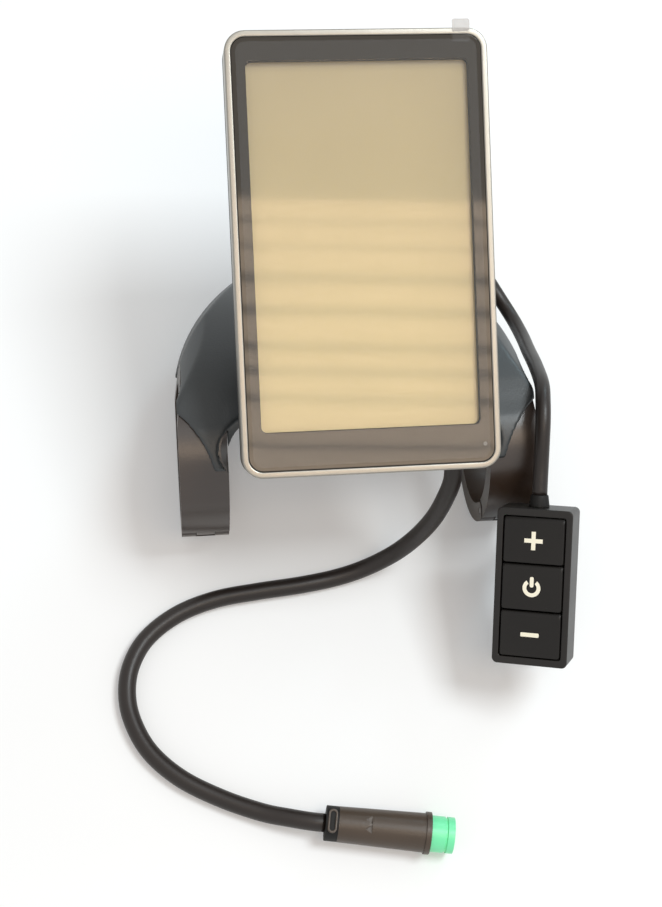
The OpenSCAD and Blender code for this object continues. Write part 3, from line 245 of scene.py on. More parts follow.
def softened(node, material, width, name=None, remesh=None, smoothing=0):
    """A copy of a solid with its loose triangles joined and its edges rounded by this many
    millimetres. With remesh, the copy is skinned again at that grid and smoothed instead."""
    mesh = NODES[node].data.copy()
    obj = bpy.data.objects.new(name or node + "_soft", mesh)
    bpy.context.collection.objects.link(obj)
    shell = bmesh.new()
    shell.from_mesh(mesh)
    bmesh.ops.remove_doubles(shell, verts=shell.verts, dist=LOOSE_WELD_M)
    if not remesh:
        bmesh.ops.dissolve_limit(shell, angle_limit=math.radians(FLAT_DEG), verts=shell.verts,
                                 edges=shell.edges)
    shell.to_mesh(mesh)
    shell.free()
    if remesh:
        skin = obj.modifiers.new("skin", "REMESH")
        skin.mode = "VOXEL"
        skin.voxel_size = remesh * MM
        rub = obj.modifiers.new("rub", "SMOOTH")
        rub.factor, rub.iterations = 0.5, smoothing
    elif width:
        edge = obj.modifiers.new("edge", "BEVEL")
        edge.width, edge.segments, edge.limit_method = width * MM, 2, "ANGLE"
        edge.angle_limit = math.radians(SHARP_DEG)
    applied(obj)
    obj.data.polygons.foreach_set("use_smooth", [True] * len(obj.data.polygons))
    obj.data.materials.clear()
    obj.data.materials.append(material)
    if not remesh:
        even_light(obj)
    return stands_for(obj, node)


def applied(obj):
    """The object's mesh as its modifiers leave it, with no modifier left."""
    depsgraph = bpy.context.evaluated_depsgraph_get()
    mesh = bpy.data.meshes.new_from_object(obj.evaluated_get(depsgraph))
    obj.modifiers.clear()
    old, obj.data = obj.data, mesh
    bpy.data.meshes.remove(old)


def stands_for(obj, *nodes):
    """The piece takes the place of these nodes: it hides them and rides on their body."""
    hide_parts(*nodes)
    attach(obj, BODY_OF[nodes[0]])
    return obj


def beside(obj, node):
    """A piece of detail that goes with this node."""
    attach(obj, BODY_OF[node])
    return obj


# Finishes

def linear(hex_text):
    """The linear colour of an sRGB hex value, with full cover."""
    s = [int(hex_text[i:i + 2], 16) / 255 for i in (1, 3, 5)]
    return tuple(c / 12.92 if c <= 0.04045 else ((c + 0.055) / 1.055) ** 2.4 for c in s) + (1.0,)


def add(tree, kind, inputs=None, **settings):
    """Adds a node, with its settings, and its inputs set or linked."""
    node = tree.nodes.new(kind)
    for key, value in settings.items():
        setattr(node, key, value)
    for key, value in (inputs or {}).items():
        if isinstance(value, bpy.types.NodeSocket):
            tree.links.new(value, node.inputs[key])
        else:
            node.inputs[key].default_value = value
    return node


def bare_material(name):
    """An empty material and its node tree."""
    material = bpy.data.materials.new(name)
    material.use_nodes = True
    material.node_tree.nodes.clear()
    return material, material.node_tree


def per_mm(size_mm):
    """Noise scale whose blobs are about this many millimetres across."""
    return 1.0 / (size_mm * MM)


# Size of the broad soft noise in the mouldings, and how far it moves their roughness
CLOUD_MM = 9
ROUGHNESS_DRIFT = 0.05


def moulded(name, shade, lighter, roughness, grain_mm=0.35, grain_depth=0.02, metallic=0.0, shine=0.5):
    """A finish with a fine grain: two shades mixed by a broad soft noise, roughness that drifts by
    a little, and a bump of grain-sized noise, its depth in millimetres."""
    material, tree = bare_material(name)
    where = add(tree, "ShaderNodeTexCoord").outputs["Object"]
    broad = add(tree, "ShaderNodeTexNoise", {"Vector": where, "Scale": per_mm(CLOUD_MM), "Detail": 3.0})
    tone = add(tree, "ShaderNodeMix", {0: broad.outputs["Fac"], 6: linear(shade), 7: linear(lighter)},
               data_type="RGBA")
    drift = add(tree, "ShaderNodeMapRange", {"Value": broad.outputs["Fac"],
                                             "To Min": roughness - ROUGHNESS_DRIFT,
                                             "To Max": roughness + ROUGHNESS_DRIFT})
    grain = add(tree, "ShaderNodeTexNoise", {"Vector": where, "Scale": per_mm(grain_mm), "Detail": 2.0})
    bump = add(tree, "ShaderNodeBump", {"Height": grain.outputs["Fac"], "Strength": 1.0,
                                        "Distance": grain_depth * MM})
    shader = add(tree, "ShaderNodeBsdfPrincipled",
                 {"Base Color": tone.outputs[2], "Roughness": drift.outputs[0], "Metallic": metallic,
                  "Specular IOR Level": shine, "Normal": bump.outputs[0]})
    add(tree, "ShaderNodeOutputMaterial", {"Surface": shader.outputs[0]})
    return material


def clear_film(name, shade, cover, roughness, wave_mm, wave_depth, shine=0.5):
    """Clear plastic or glass that shows what lies under it: a thin cover, slow waves, and a shine
    where what lies under it has none."""
    material, tree = bare_material(name)
    where = add(tree, "ShaderNodeTexCoord").outputs["Object"]
    waves = add(tree, "ShaderNodeTexNoise", {"Vector": where, "Scale": per_mm(wave_mm), "Detail": 1.0})
    bump = add(tree, "ShaderNodeBump", {"Height": waves.outputs["Fac"], "Distance": wave_depth * MM})
    shader = add(tree, "ShaderNodeBsdfPrincipled",
                 {"Base Color": linear(shade), "Roughness": roughness, "Alpha": cover,
                  "Specular IOR Level": shine, "Normal": bump.outputs[0]})
    add(tree, "ShaderNodeOutputMaterial", {"Surface": shader.outputs[0]})
    return material


def face_frame(tree):
    """Object coordinates turned to the display's own: X across, Y up the face, Z out of it."""
    where = add(tree, "ShaderNodeTexCoord").outputs["Object"]
    up = HEAD[1].T @ HEAD[0] * MM
    turn = add(tree, "ShaderNodeMapping", {"Vector": where, "Rotation": (-math.radians(TILT_DEG), 0, 0),
                                           "Location": (-up[0], -up[1], -up[2])})
    return turn.outputs[0]


def tone_up_the_face(tree, height, reach_mm, low, high, steps=()):
    """A colour that goes from one shade to another over this stretch of the face's height."""
    rise = add(tree, "ShaderNodeMapRange", {"Value": height, "From Min": reach_mm[0] * MM,
                                            "From Max": reach_mm[1] * MM})
    tone = add(tree, "ShaderNodeValToRGB", {"Fac": rise.outputs[0]})
    tone.color_ramp.elements[0].color = linear(low)
    tone.color_ramp.elements[1].color = linear(high)
    for place, shade in steps:
        tone.color_ramp.elements.new(place).color = linear(shade)
    return tone.outputs[0]


def printed_border_with_painted_reflection():
    """Dark warm print under tempered glass, with a painted reflection that makes it a little lighter
    towards the rider, and the glass's own smooth shine."""
    material, tree = bare_material("Printed border under tempered glass, painted reflection")
    local = add(tree, "ShaderNodeSeparateXYZ", {0: face_frame(tree)})
    # Painted reflection: the print's tone is lighter at the rider's end
    tone = tone_up_the_face(tree, local.outputs[1], LOOK["border_painted_reflection_from_to_mm"], LOOK["border_low"],
                            LOOK["border_high_painted_reflection"])
    shader = add(tree, "ShaderNodeBsdfPrincipled",
                 {"Base Color": tone, "Roughness": LOOK["border_roughness"], "Specular IOR Level": 0.5})
    add(tree, "ShaderNodeOutputMaterial", {"Surface": shader.outputs[0]})
    return material


def unlit_screen():
    """An unlit liquid crystal panel: straw coloured, lighter towards the rider by a painted reflection,
    greyer at the top by a painted shadow of the border's edge, darker to the right by painted shade,
    with a soft cloudiness of its polariser, under the smooth shine of the glass over it."""
    material, tree = bare_material("Unlit screen panel")
    face = face_frame(tree)
    local = add(tree, "ShaderNodeSeparateXYZ", {0: face})
    # Painted light up the face: a reflection lightens it towards the rider, and the border's shadow greys
    # its top
    tone = tone_up_the_face(tree, local.outputs[1], LOOK["screen_painted_light_from_to_mm"], LOOK["screen_low_painted_reflection"],
                            LOOK["screen_top_painted_shadow"], LOOK["screen_painted_light_steps"])
    # Painted shade that darkens the screen's right side
    start, end = LOOK["screen_painted_shade_side_mm"]
    painted_side_shade = add(tree, "ShaderNodeMapRange",
                {"Value": local.outputs[0], "From Min": start * MM, "From Max": end * MM,
                 "To Min": 1.0, "To Max": LOOK["screen_painted_shade_side_tone"]})
    cloud = add(tree, "ShaderNodeTexNoise", {"Vector": face, "Scale": per_mm(LOOK["screen_cloud_mm"]),
                                             "Detail": 1.0})
    faint, full = LOOK["screen_cloud_tones"]
    depth = add(tree, "ShaderNodeMapRange",
                {"Value": cloud.outputs["Fac"], "To Min": faint, "To Max": full})
    depth = add(tree, "ShaderNodeMath", {0: depth.outputs[0], 1: painted_side_shade.outputs[0]}, operation="MULTIPLY")
    shade = add(tree, "ShaderNodeMix", {0: 1.0, 6: tone, 7: depth.outputs[0]},
                data_type="RGBA", blend_type="MULTIPLY")
    shader = add(tree, "ShaderNodeBsdfPrincipled",
                 {"Base Color": shade.outputs[2], "Roughness": 0.6, "Specular IOR Level": 0.0,
                  "Coat Weight": 1.0, "Coat Roughness": LOOK["screen_shine_roughness"],
                  "Coat IOR": LOOK["screen_shine_index"]})
    add(tree, "ShaderNodeOutputMaterial", {"Surface": shader.outputs[0]})
    return material


# Tones of the print and the screen from the rider's end to the far end, with a painted reflection that
# lightens both towards the rider and a painted shadow of the border that greys the screen's top, where
# on the face they start and end, the painted shade that darkens the right side of the screen, its
# cloudiness and the shine of the glass
LOOK = {
    # Painted reflection in the print: lighter at the rider's end
    "border_low": "#352d23", "border_high_painted_reflection": "#312a20",
    "border_painted_reflection_from_to_mm": (-46, 46), "border_roughness": 0.05,
    # Painted light in the screen: lighter towards the rider as a reflection, its top greyer as the border's
    # shadow
    "screen_low_painted_reflection": "#c4ae78", "screen_top_painted_shadow": "#a08f6a",
    "screen_painted_light_steps": [(0.3, "#c2ac76"), (0.75, "#baa473"), (0.965, "#b8a376")],
    "screen_painted_light_from_to_mm": (-37, 41), "screen_painted_shade_side_mm": (10, 24), "screen_painted_shade_side_tone": 0.93,
    "screen_cloud_mm": 22, "screen_cloud_tones": (0.97, 1.03),
    "screen_shine_roughness": 0.055, "screen_shine_index": 1.75,
}

FINISH = {}


def finishes():
    """Every finish, made once."""
    if FINISH:
        return FINISH
    FINISH.update(
        # Glass-filled nylon from a spark-eroded mould: black, satin, with a fine even grain
        bracket=moulded("Glass-filled nylon, spark-eroded", "#24282a", "#303435", 0.42, 0.4, 0.03,
                        shine=0.6),
        # The clamp rings are a smoother moulding of the same nylon, tinted warm as painted light that
        # stands in for the warm light on them
        ring=moulded("Glass-filled nylon, smooth", "#261a12", "#33251a", 0.3, 0.4, 0.012, shine=0.8),
        # The cover and hinge parts are the same nylon with less sheen
        cover=moulded("Moulded nylon, matt", "#131415", "#191a1b", 0.5, 0.5, 0.02, shine=0.3),
        # Bead-blasted and clear anodised aluminium: soft shine, with a slightly warm tint that is a painted
        # reflection of warm light
        rim=moulded("Bead-blasted anodised aluminium", "#8f8b83", "#9a968e", 0.36, 0.12, 0.004,
                    metallic=1.0),
        border=printed_border_with_painted_reflection(),
        screen=unlit_screen(),
        window=clear_film("Clear cover glass", "#f2f4f4", 0.02, 0.1, 40, 0.002, shine=0.0),
        film=clear_film("Protective film", "#e8eaec", 0.02, 0.1, 16, 0.004, shine=0.0),
        tab=clear_film("Pull tab of frosted film", "#c9c4c0", 0.5, 0.4, 3, 0.02, shine=0.3),
        # Soft black PVC jacket, extruded: low shine and faint drag marks, and a warm tint that is painted
        # warm light
        jacket=moulded("Extruded PVC jacket", "#1c1613", "#28211d", 0.4, 0.8, 0.02, shine=0.4),
        rubber=moulded("Moulded rubber", "#121110", "#1a1918", 0.6, 0.5, 0.02, shine=0.25),
        # ABS case of the pad: warm black with a satin skin
        pad=moulded("Satin ABS, warm black", "#1b1917", "#24211f", 0.4, 0.45, 0.02, shine=0.3),
        key=moulded("Satin key plastic", "#1a1817", "#211f1d", 0.42, 0.4, 0.015, shine=0.22),
        mark=moulded("Cream mark ink", "#f8f1d8", "#fbf5e2", 0.5, 0.3, 0.003),
        # Moulded plug nylon with a warm brown tint that is painted warm light
        plug=moulded("Moulded plug nylon", "#3b2f24", "#483a2d", 0.4, 0.4, 0.03, shine=0.5),
        nose=moulded("Mint green nylon", "#72e6a8", "#80f0b4", 0.32, 0.5, 0.01),
        seal=moulded("Yellow silicone", "#c2a43a", "#d0b348", 0.5, 0.5, 0.01),
        steel=moulded("Zinc-plated steel", "#b5b5b6", "#c6c6c7", 0.3, 0.3, 0.004, metallic=1.0),
        black_steel=moulded("Black-oxide steel", "#2b2b2d", "#38383a", 0.38, 0.3, 0.006, metallic=1.0),
        brass=moulded("Turned brass", "#b9924a", "#c9a258", 0.28, 0.25, 0.004, metallic=1.0),
        gold=moulded("Gold-plated contact", "#d4aa4c", "#e0b85c", 0.22, 0.2, 0.002, metallic=1.0),
        board=moulded("Solder mask on board", "#0f4a2a", "#145a34", 0.3, 1.2, 0.01),
        chips=moulded("Epoxy chip moulding", "#1a1a1c", "#242426", 0.5, 0.3, 0.01),
        smoked=moulded("Smoked sensor window", "#6f6b64", "#7a766f", 0.3, 0.5, 0.002),
        white=moulded("White diffuser plastic", "#dcdeda", "#e8e9e4", 0.45, 0.5, 0.004),
        amber=moulded("Polyimide flat cable", "#9a5a1c", "#ad6a26", 0.35, 0.5, 0.004),
    )
    return FINISH


# Sizes and colours that a user may change

class DisplayLook(bpy.types.PropertyGroup):
    """Sizes of the display head's visible pieces."""
    case_width: FloatProperty(name="Width", description="Width over the metal rim, in millimetres",
                              default=55.8, min=50, max=64)
    case_height: FloatProperty(name="Height", description="Height over the metal rim, in millimetres",
                               default=93.6, min=88, max=104)
    rim_wall: FloatProperty(name="Rim wall", default=1.4, min=1.0, max=2.0,
                            description="Rim's wall seen from the front, in millimetres")
    rim_round: FloatProperty(name="Corner radius", default=4.4, min=2, max=8,
                             description="Outer corner radius of the rim, in millimetres")
    screen_width: FloatProperty(name="Screen width", description="Visible screen, in millimetres",
                                default=47.2, min=40, max=50)
    screen_height: FloatProperty(name="Screen height", description="Visible screen, in millimetres",
                                 default=77.6, min=70, max=82)
    screen_up: FloatProperty(name="Screen offset", default=1.65, min=0, max=3,
                             description="Screen's centre above the glass's, in millimetres")
    edge: FloatProperty(name="Edge", description="Rounding of the rim's edges, in millimetres",
                        default=0.35, min=0.05, max=0.6)


class BracketLook(bpy.types.PropertyGroup):
    """Finish of the bracket's mouldings."""
    skin: FloatProperty(name="Skin", description="Grid of the arch's skin, in millimetres", default=0.45,
                        min=0.4, max=2)
    smoothing: IntProperty(name="Smoothing", description="Passes that round the arch's edges", default=4,
                           min=0, max=30)
    ring_edge: FloatProperty(name="Ring edge", description="Rounding of the rings' edges, in millimetres",
                             default=0.35, min=0.1, max=1.5)


class PadLook(bpy.types.PropertyGroup):
    """Sizes of the key pad's visible pieces."""
    width: FloatProperty(name="Width", description="Width of the case, in millimetres", default=17.3,
                         min=15, max=20)
    length: FloatProperty(name="Length", description="Length of the case, in millimetres", default=35.9,
                          min=30, max=40)
    depth: FloatProperty(name="Depth", description="Depth of the case, in millimetres", default=9.6,
                         min=8, max=12)
    key_width: FloatProperty(name="Key width", description="Width of a key, in millimetres", default=13.9,
                             min=10, max=15)
    key_length: FloatProperty(name="Key length", description="Length of a key, in millimetres",
                              default=10.4667, min=8, max=12)
    key_pitch: FloatProperty(name="Key pitch", description="From key to key, in millimetres",
                             default=10.7667, min=8, max=13)
    proud: FloatProperty(name="Stand", description="How far the keys stand out, in millimetres",
                         default=0.4, min=0, max=1)


class LeadLook(bpy.types.PropertyGroup):
    """Sizes of the two leads."""
    main_diameter: FloatProperty(name="Main lead", description="Its diameter, in millimetres", default=4.2,
                                 min=3, max=6)
    pad_diameter: FloatProperty(name="Pad lead", description="Its diameter, in millimetres", default=3.5,
                                min=2, max=5)
    spacing: FloatProperty(name="Ring spacing", default=0.9, min=0.4, max=3,
                           description="Distance between the tube's rings, in millimetres")


class StageLook(bpy.types.PropertyGroup):
    """Camera, floor and light."""
    lens: FloatProperty(name="Lens", description="Focal length", default=61.52, min=20, max=200)
    distance: FloatProperty(name="Distance", description="Camera from what it looks at, in millimetres",
                            default=368.5, min=200, max=900)
    azimuth: FloatProperty(name="Azimuth", description="Camera's bearing, in degrees", default=19.87)
    elevation: FloatProperty(name="Elevation", description="How far it looks down, in degrees",
                             default=67.95)
    roll: FloatProperty(name="Roll", description="Turn about its own line of sight, in degrees",
                        default=15.72)
    floor_colour: FloatVectorProperty(name="Floor", description="Colour of the floor", subtype="COLOR",
                                      size=3, default=(0.93, 0.93, 0.93), min=0, max=1)
    floor_glow: FloatProperty(name="Floor glow", default=0.2, min=0, max=1,
                              description="Share of plain white in the floor that the camera sees")
    sky: FloatProperty(name="Sky", description="Strength of the light from all round", default=0.55,
                       min=0, max=2)
    key_light: FloatProperty(name="Main lamp", description="Power of the main soft lamp, in watts",
                             default=9.4, min=0, max=20)
    blind_light: FloatProperty(name="Blind", default=4.0, min=0, max=20,
                               description="Brightness of the slats over the rider, white is 1")


# The routes of the leads, in millimetres, as the solids have them

MAIN_ROUTE = [
    [19.5, -9.85, 26.82], [19.5, -12.53, 25.59], [20.1, -17.2, 19.4], [19.1, -19.8, 12.5], [17.2, -21.8, 4],
    [14, -23.2, -5], [9.5, -24.6, -12], [3.2, -26.2, -16.6], [-4, -27.8, -18.2], [-13, -29.2, -18.2],
    [-23.5, -30.2, -18.2], [-33.8, -31.6, -18.2], [-43, -34.8, -18.2], [-50.4, -40.2, -18.2],
    [-54.4, -46.8, -18.2], [-55.5, -53.8, -18.2], [-54.2, -60.6, -18.2], [-50.5, -67.6, -18.2],
    [-43.8, -74, -18.2], [-34.8, -79.2, -18.2], [-26, -83, -17.7], [-20, -84.9, -16.4],
    [-14.854, -86.279, -15.6], [-11.949, -86.791, -15.6]]
PAD_ROUTE_MIDDLE = [
    [12.2, 59.4, 33], [16.6, 59.4, 26.2], [22.5, 57.4, 19.5], [28, 54.4, 12.5], [33, 50.2, 6],
    [37.6, 45, 0.5], [41.8, 39, -2.8], [44.6, 32.4, -2.6], [45.2, 25.6, 1.6], [44.6, 18.8, 7.8],
    [43.6, 11, 16], [42.4, 2.8, 23.7], [41.5, -2.6, 25.9], [41, -7.2, 25.4], [40.7, -11.6, 23],
    [40.5, -15.7, 20.2]]


def head_point(x, up, depth):
    """A point of the display head, in millimetres in the row frame."""
    return (HEAD[1] @ np.array([x, up, -depth]) + HEAD[0]).tolist()


def pad_point(x, up, depth):
    """A point of the key pad, in millimetres in the row frame."""
    return (PAD[1] @ np.array([x, up, -depth]) + PAD[0]).tolist()


PAD_ROUTE_START = [head_point(10.5, 26, 25.85), head_point(10.5, 26, 28.8)]
PAD_ROUTE_END = [pad_point(0, 23.75, 4.8), pad_point(0, 20.8, 4.8)]

# The blind's slats of light, as the heights on the glass between which each is seen, how high
# over the bar the slats hang, their width and their colour
BRIGHT_SLATS = [(11, 7.2), (6, 1.8), (0.6, -4.3), (-6.6, -11.2), (-13.6, -18.8), (-21.1, -24.2),
                (-26.4, -30), (-32.4, -40.2), (-42.4, -52)]
BLIND_Z = 560
BLIND_WIDTH = 300
BLIND_COLOUR = (1.0, 0.75, 0.52)

# Place, size and colour of the two lamps, the window's power as a share of the main lamp's, and
# what both and the slats are turned to
MAIN_LAMP = ((500, 60, 1190), 420, (0.9, 0.97, 1.0))
WINDOW_LAMP = ((300, 430, 330), 140, (0.62, 0.88, 1.0))
WINDOW_SHARE = 0.06
LAMPS_LOOK_AT = (0, 0, 20.0)

# What the camera looks at, how far the picture's middle lies from it, and how far the camera sees
LOOK_AT = (2.8, -8.6, 0)
SHIFT_PX = (-33.8, 22.2)
PICTURE_LONG_SIDE_PX = 907
SENSOR_MM = 36
CAMERA_SEES_M = (0.01, 20)

# The floor's reach from the middle and its gap under the rings
FLOOR_REACH = 3000
FLOOR_GAP = 0.05


class OBJECT_OT_display_stage(bpy.types.Operator):
    """Camera at the photograph's angle, pale floor, soft lamps and a white surround"""
    bl_idname = "display.stage"
    bl_label = "Stage"

    def execute(self, context):
        look = context.scene.display_stage
        self.camera(context, look)
        self.floor(look)
        self.light(look)
        self.surround(context, look)
        context.scene.view_settings.view_transform = "Standard"
        return {"FINISHED"}

    def sight(self, look):
        """The eye's place in millimetres and the direction in which it looks."""
        a, e = np.radians([look.azimuth, look.elevation])
        ahead = np.array([np.sin(a) * np.cos(e), np.cos(a) * np.cos(e), -np.sin(e)])
        return np.array(LOOK_AT) - look.distance * ahead, ahead

    def camera(self, context, look):
        """Right, up and ahead from bearing and elevation, then rolled about the line of sight."""
        a, r = np.radians([look.azimuth, look.roll])
        eye, ahead = self.sight(look)
        right = np.array([np.cos(a), -np.sin(a), 0])
        up = np.cross(right, ahead)
        right, up = np.cos(r) * right + np.sin(r) * up, np.cos(r) * up - np.sin(r) * right
        data = bpy.data.cameras.new("camera")
        data.lens, data.sensor_width = look.lens, SENSOR_MM
        data.shift_x, data.shift_y = (shift / PICTURE_LONG_SIDE_PX for shift in SHIFT_PX)
        data.clip_start, data.clip_end = CAMERA_SEES_M
        camera = bpy.data.objects.new("camera", data)
        context.collection.objects.link(camera)
        camera.matrix_world = Matrix([[right[k], up[k], -ahead[k], eye[k] * MM] for k in range(3)]
                                     + [[0, 0, 0, 1]])
        context.scene.camera = camera

    def floor(self, look):
        """A plain sheet under the object that keeps its shadow and reads as white to the camera."""
        material, tree = bare_material("Pale studio floor")
        ray = add(tree, "ShaderNodeLightPath").outputs["Is Camera Ray"]
        share = add(tree, "ShaderNodeMath", {0: ray, 1: look.floor_glow}, operation="MULTIPLY")
        sheet = add(tree, "ShaderNodeBsdfDiffuse", {"Color": (*look.floor_colour, 1)})
        glow = add(tree, "ShaderNodeEmission", {"Color": (1, 1, 1, 1), "Strength": 1.0})
        both = add(tree, "ShaderNodeMixShader",
                   {0: share.outputs[0], 1: sheet.outputs[0], 2: glow.outputs[0]})
        add(tree, "ShaderNodeOutputMaterial", {"Surface": both.outputs[0]})
        corners = [(-1, -1), (1, -1), (1, 1), (-1, 1)]
        points = [[x * FLOOR_REACH, y * FLOOR_REACH, TABLE_Z - FLOOR_GAP] for x, y in corners]
        points = np.array(points) * MM
        mesh = bpy.data.meshes.new("floor")
        mesh.from_pydata(points.tolist(), [], [(0, 1, 2, 3)])
        mesh.materials.append(material)
        floor = bpy.data.objects.new("floor", mesh)
        bpy.context.collection.objects.link(floor)

    def lamp(self, name, spot, size, power, colour, depth=None):
        """A flat lamp at this place in millimetres, turned to the object."""
        data = bpy.data.lights.new(name, "AREA")
        data.shape = "RECTANGLE"
        data.size, data.size_y = size * MM, (depth or size) * MM
        data.energy, data.color = power, colour
        lamp = bpy.data.objects.new(name, data)
        bpy.context.collection.objects.link(lamp)
        z = np.array(spot, float) - np.array(LAMPS_LOOK_AT)
        z = z / np.linalg.norm(z)
        x = np.cross([0, 1.0, 0], z)
        x /= np.linalg.norm(x)
        y = np.cross(z, x)
        lamp.matrix_world = Matrix([[x[k], y[k], z[k], spot[k] * MM] for k in range(3)] + [[0, 0, 0, 1]])

    def light(self, look):
        """A large soft lamp high at the right, a small cool window low behind at the right,
        and over the rider a blind of warm slats, which the glass shows in its lower half."""
        for name, (spot, size, colour), share in (("lamp_main", MAIN_LAMP, 1),
                                                  ("lamp_window", WINDOW_LAMP, WINDOW_SHARE)):
            self.lamp(name, spot, size, look.key_light * share, colour)
        eye, _ = self.sight(look)
        out = HEAD[1][:, 2]
        for number, heights in enumerate(BRIGHT_SLATS):
            spots = []
            for height in heights:
                point = np.array(head_point(0, height, 0))
                ray = point - eye
                ray -= 2 * (ray @ out) * out
                spots.append(point + ray * (BLIND_Z - point[2]) / ray[2])
            depth = float(np.linalg.norm(spots[0] - spots[1]))
            power = look.blind_light * math.pi * BLIND_WIDTH * depth * MM ** 2
            middle = tuple(np.mean(spots, axis=0))
            self.lamp("lamp_slat_%d" % number, middle, BLIND_WIDTH, power, BLIND_COLOUR, depth)

    def surround(self, context, look):
        """White to the eye, in metal and through glass, and a softer light on everything else."""
        world = bpy.data.worlds.new("surround")
        world.use_nodes = True
        tree = world.node_tree
        tree.nodes.clear()
        path = add(tree, "ShaderNodeLightPath")
        seen = path.outputs["Is Camera Ray"]
        for kind in ("Is Glossy Ray", "Is Transmission Ray"):
            either = add(tree, "ShaderNodeMath", {0: seen, 1: path.outputs[kind]}, operation="MAXIMUM")
            seen = either.outputs[0]
        strength = add(tree, "ShaderNodeMapRange", {"Value": seen, "To Min": look.sky, "To Max": 1.0})
        sky = add(tree, "ShaderNodeBackground", {"Color": (1, 1, 1, 1), "Strength": strength.outputs[0]})
        add(tree, "ShaderNodeOutputWorld", {"Surface": sky.outputs[0]})
        context.scene.world = world


# The oval on the plug's collar, in millimetres: where it sits from the plug's axis, how deep and
# how proud its wall is, and its outside and inside as width, height and corner radius
OVAL_ALONG, OVAL_SEAT = 1.45, 3.85
OVAL_DEEP, OVAL_PROUD, SLOT_TOP = 0.4, 0.3, 0.02
OVAL_OUTSIDE, OVAL_INSIDE = (2.1, 5.4, 1.0), (1.2, 4.4, 0.6)
OVAL_EASE, SLOT_EASE = 0.15, 0.02


class OBJECT_OT_display_leads(bpy.types.Operator):
    """The main lead to its plug and the lead of the key pad, each one smooth tube"""
    bl_idname = "display.leads"
    bl_label = "Leads"

    def execute(self, context):
        look, finish = context.scene.display_leads, finishes()
        plug = [softened(node, finish[key], width) for node, key, width in (
            ("plug_collar", "rubber", 0.3), ("plug_body", "plug", 0.25), ("plug_nose", "nose", 0.3),
            ("plug_seal", "seal", 0), ("plug_contacts", "gold", 0.1))]
        plug += self.collar_slot(finish)
        path, length = smooth_path(MAIN_ROUTE, look.spacing)
        lead = tube("main_lead_jacket", path, look.main_diameter / 2, finish["jacket"])
        stands_for(lead, "main_lead")
        route = PAD_ROUTE_START + PAD_ROUTE_MIDDLE + PAD_ROUTE_END
        path, length = smooth_path(route, look.spacing)
        lead = tube("pad_lead_jacket", path, look.pad_diameter / 2, finish["jacket"])
        stands_for(lead, "pad_lead")
        return {"FINISHED"}

    def collar_slot(self, finish):
        """A raised oval on the collar's upper side, round a dark slot."""
        origin, turn = PLUG
        along, across, up = turn[:, 2], turn[:, 1], -turn[:, 0]
        place = (origin + along * OVAL_ALONG + up * OVAL_SEAT, np.column_stack([along, across, up]))
        ridge = [OVAL_OUTSIDE + (-OVAL_DEEP,), OVAL_OUTSIDE + (OVAL_PROUD,), OVAL_INSIDE + (OVAL_PROUD,),
                 OVAL_INSIDE + (-OVAL_DEEP,)]
        slot = [OVAL_INSIDE + (-OVAL_DEEP,), OVAL_INSIDE + (SLOT_TOP,)]
        ridge = stacked("collar_ridge", ridge, place, finish["plug"], ease=OVAL_EASE, loop=True)
        slot = stacked("collar_slot", slot, place, finish["rubber"], ease=SLOT_EASE)
        return [beside(ridge, "plug_collar"), beside(slot, "plug_collar")]


# Heights in the display's frame, in millimetres: its glass's outer face is at 0
RIM_TOP, RIM_FOOT = 0.15, -6.6
SEAT_TOP, SEAT_FOOT = -1.3, -2.1
GLASS_FOOT, WINDOW_TOP = -1.2, -0.01
PANEL_TOP, PANEL_FOOT = -1.8, -3.2
FILM_FOOT, FILM_TOP = 0.01, 0.12
TAB_FOOT, TAB_TOP = 0.16, 0.27
SENSOR_FOOT, SENSOR_TOP = -0.3, 0.006

# Sizes that go with them. Less, more and under are measured from the neighbouring piece, and an
# ease is how far from an edge its rounding starts
SEAT_LESS, SEAT_ROUND_LESS = 2.4, 1
GLASS_LESS = 0.1
SCREEN_ROUND = 1.2
PANEL_MORE, PANEL_ROUND = 1.6, 0.1
FILM_LESS, FILM_ROUND_LESS = 1.8, 0.9
SENSOR_WIDTH = 0.9
SENSOR_X, SENSOR_UNDER_SCREEN = 24.45, 4.35
GLASS_EASE, SCREEN_EASE, FILM_EASE = 0.15, 0.05, 0.02

# The pull tab's two lengths, over the rim and beyond it, as length, corner and middle past the glass
TAB_X, TAB_WIDTH = 22.3, 3.8
TAB_ROOT = (2.2, 0.3, -0.45)
TAB_END = (2.6, 0.5, 1.95)


def slab(width, height, radius, low, high, x=0, y=0):
    """Rows of a flat rounded plate between two heights."""
    return [(width, height, radius, low, x, y), (width, height, radius, high, x, y)]


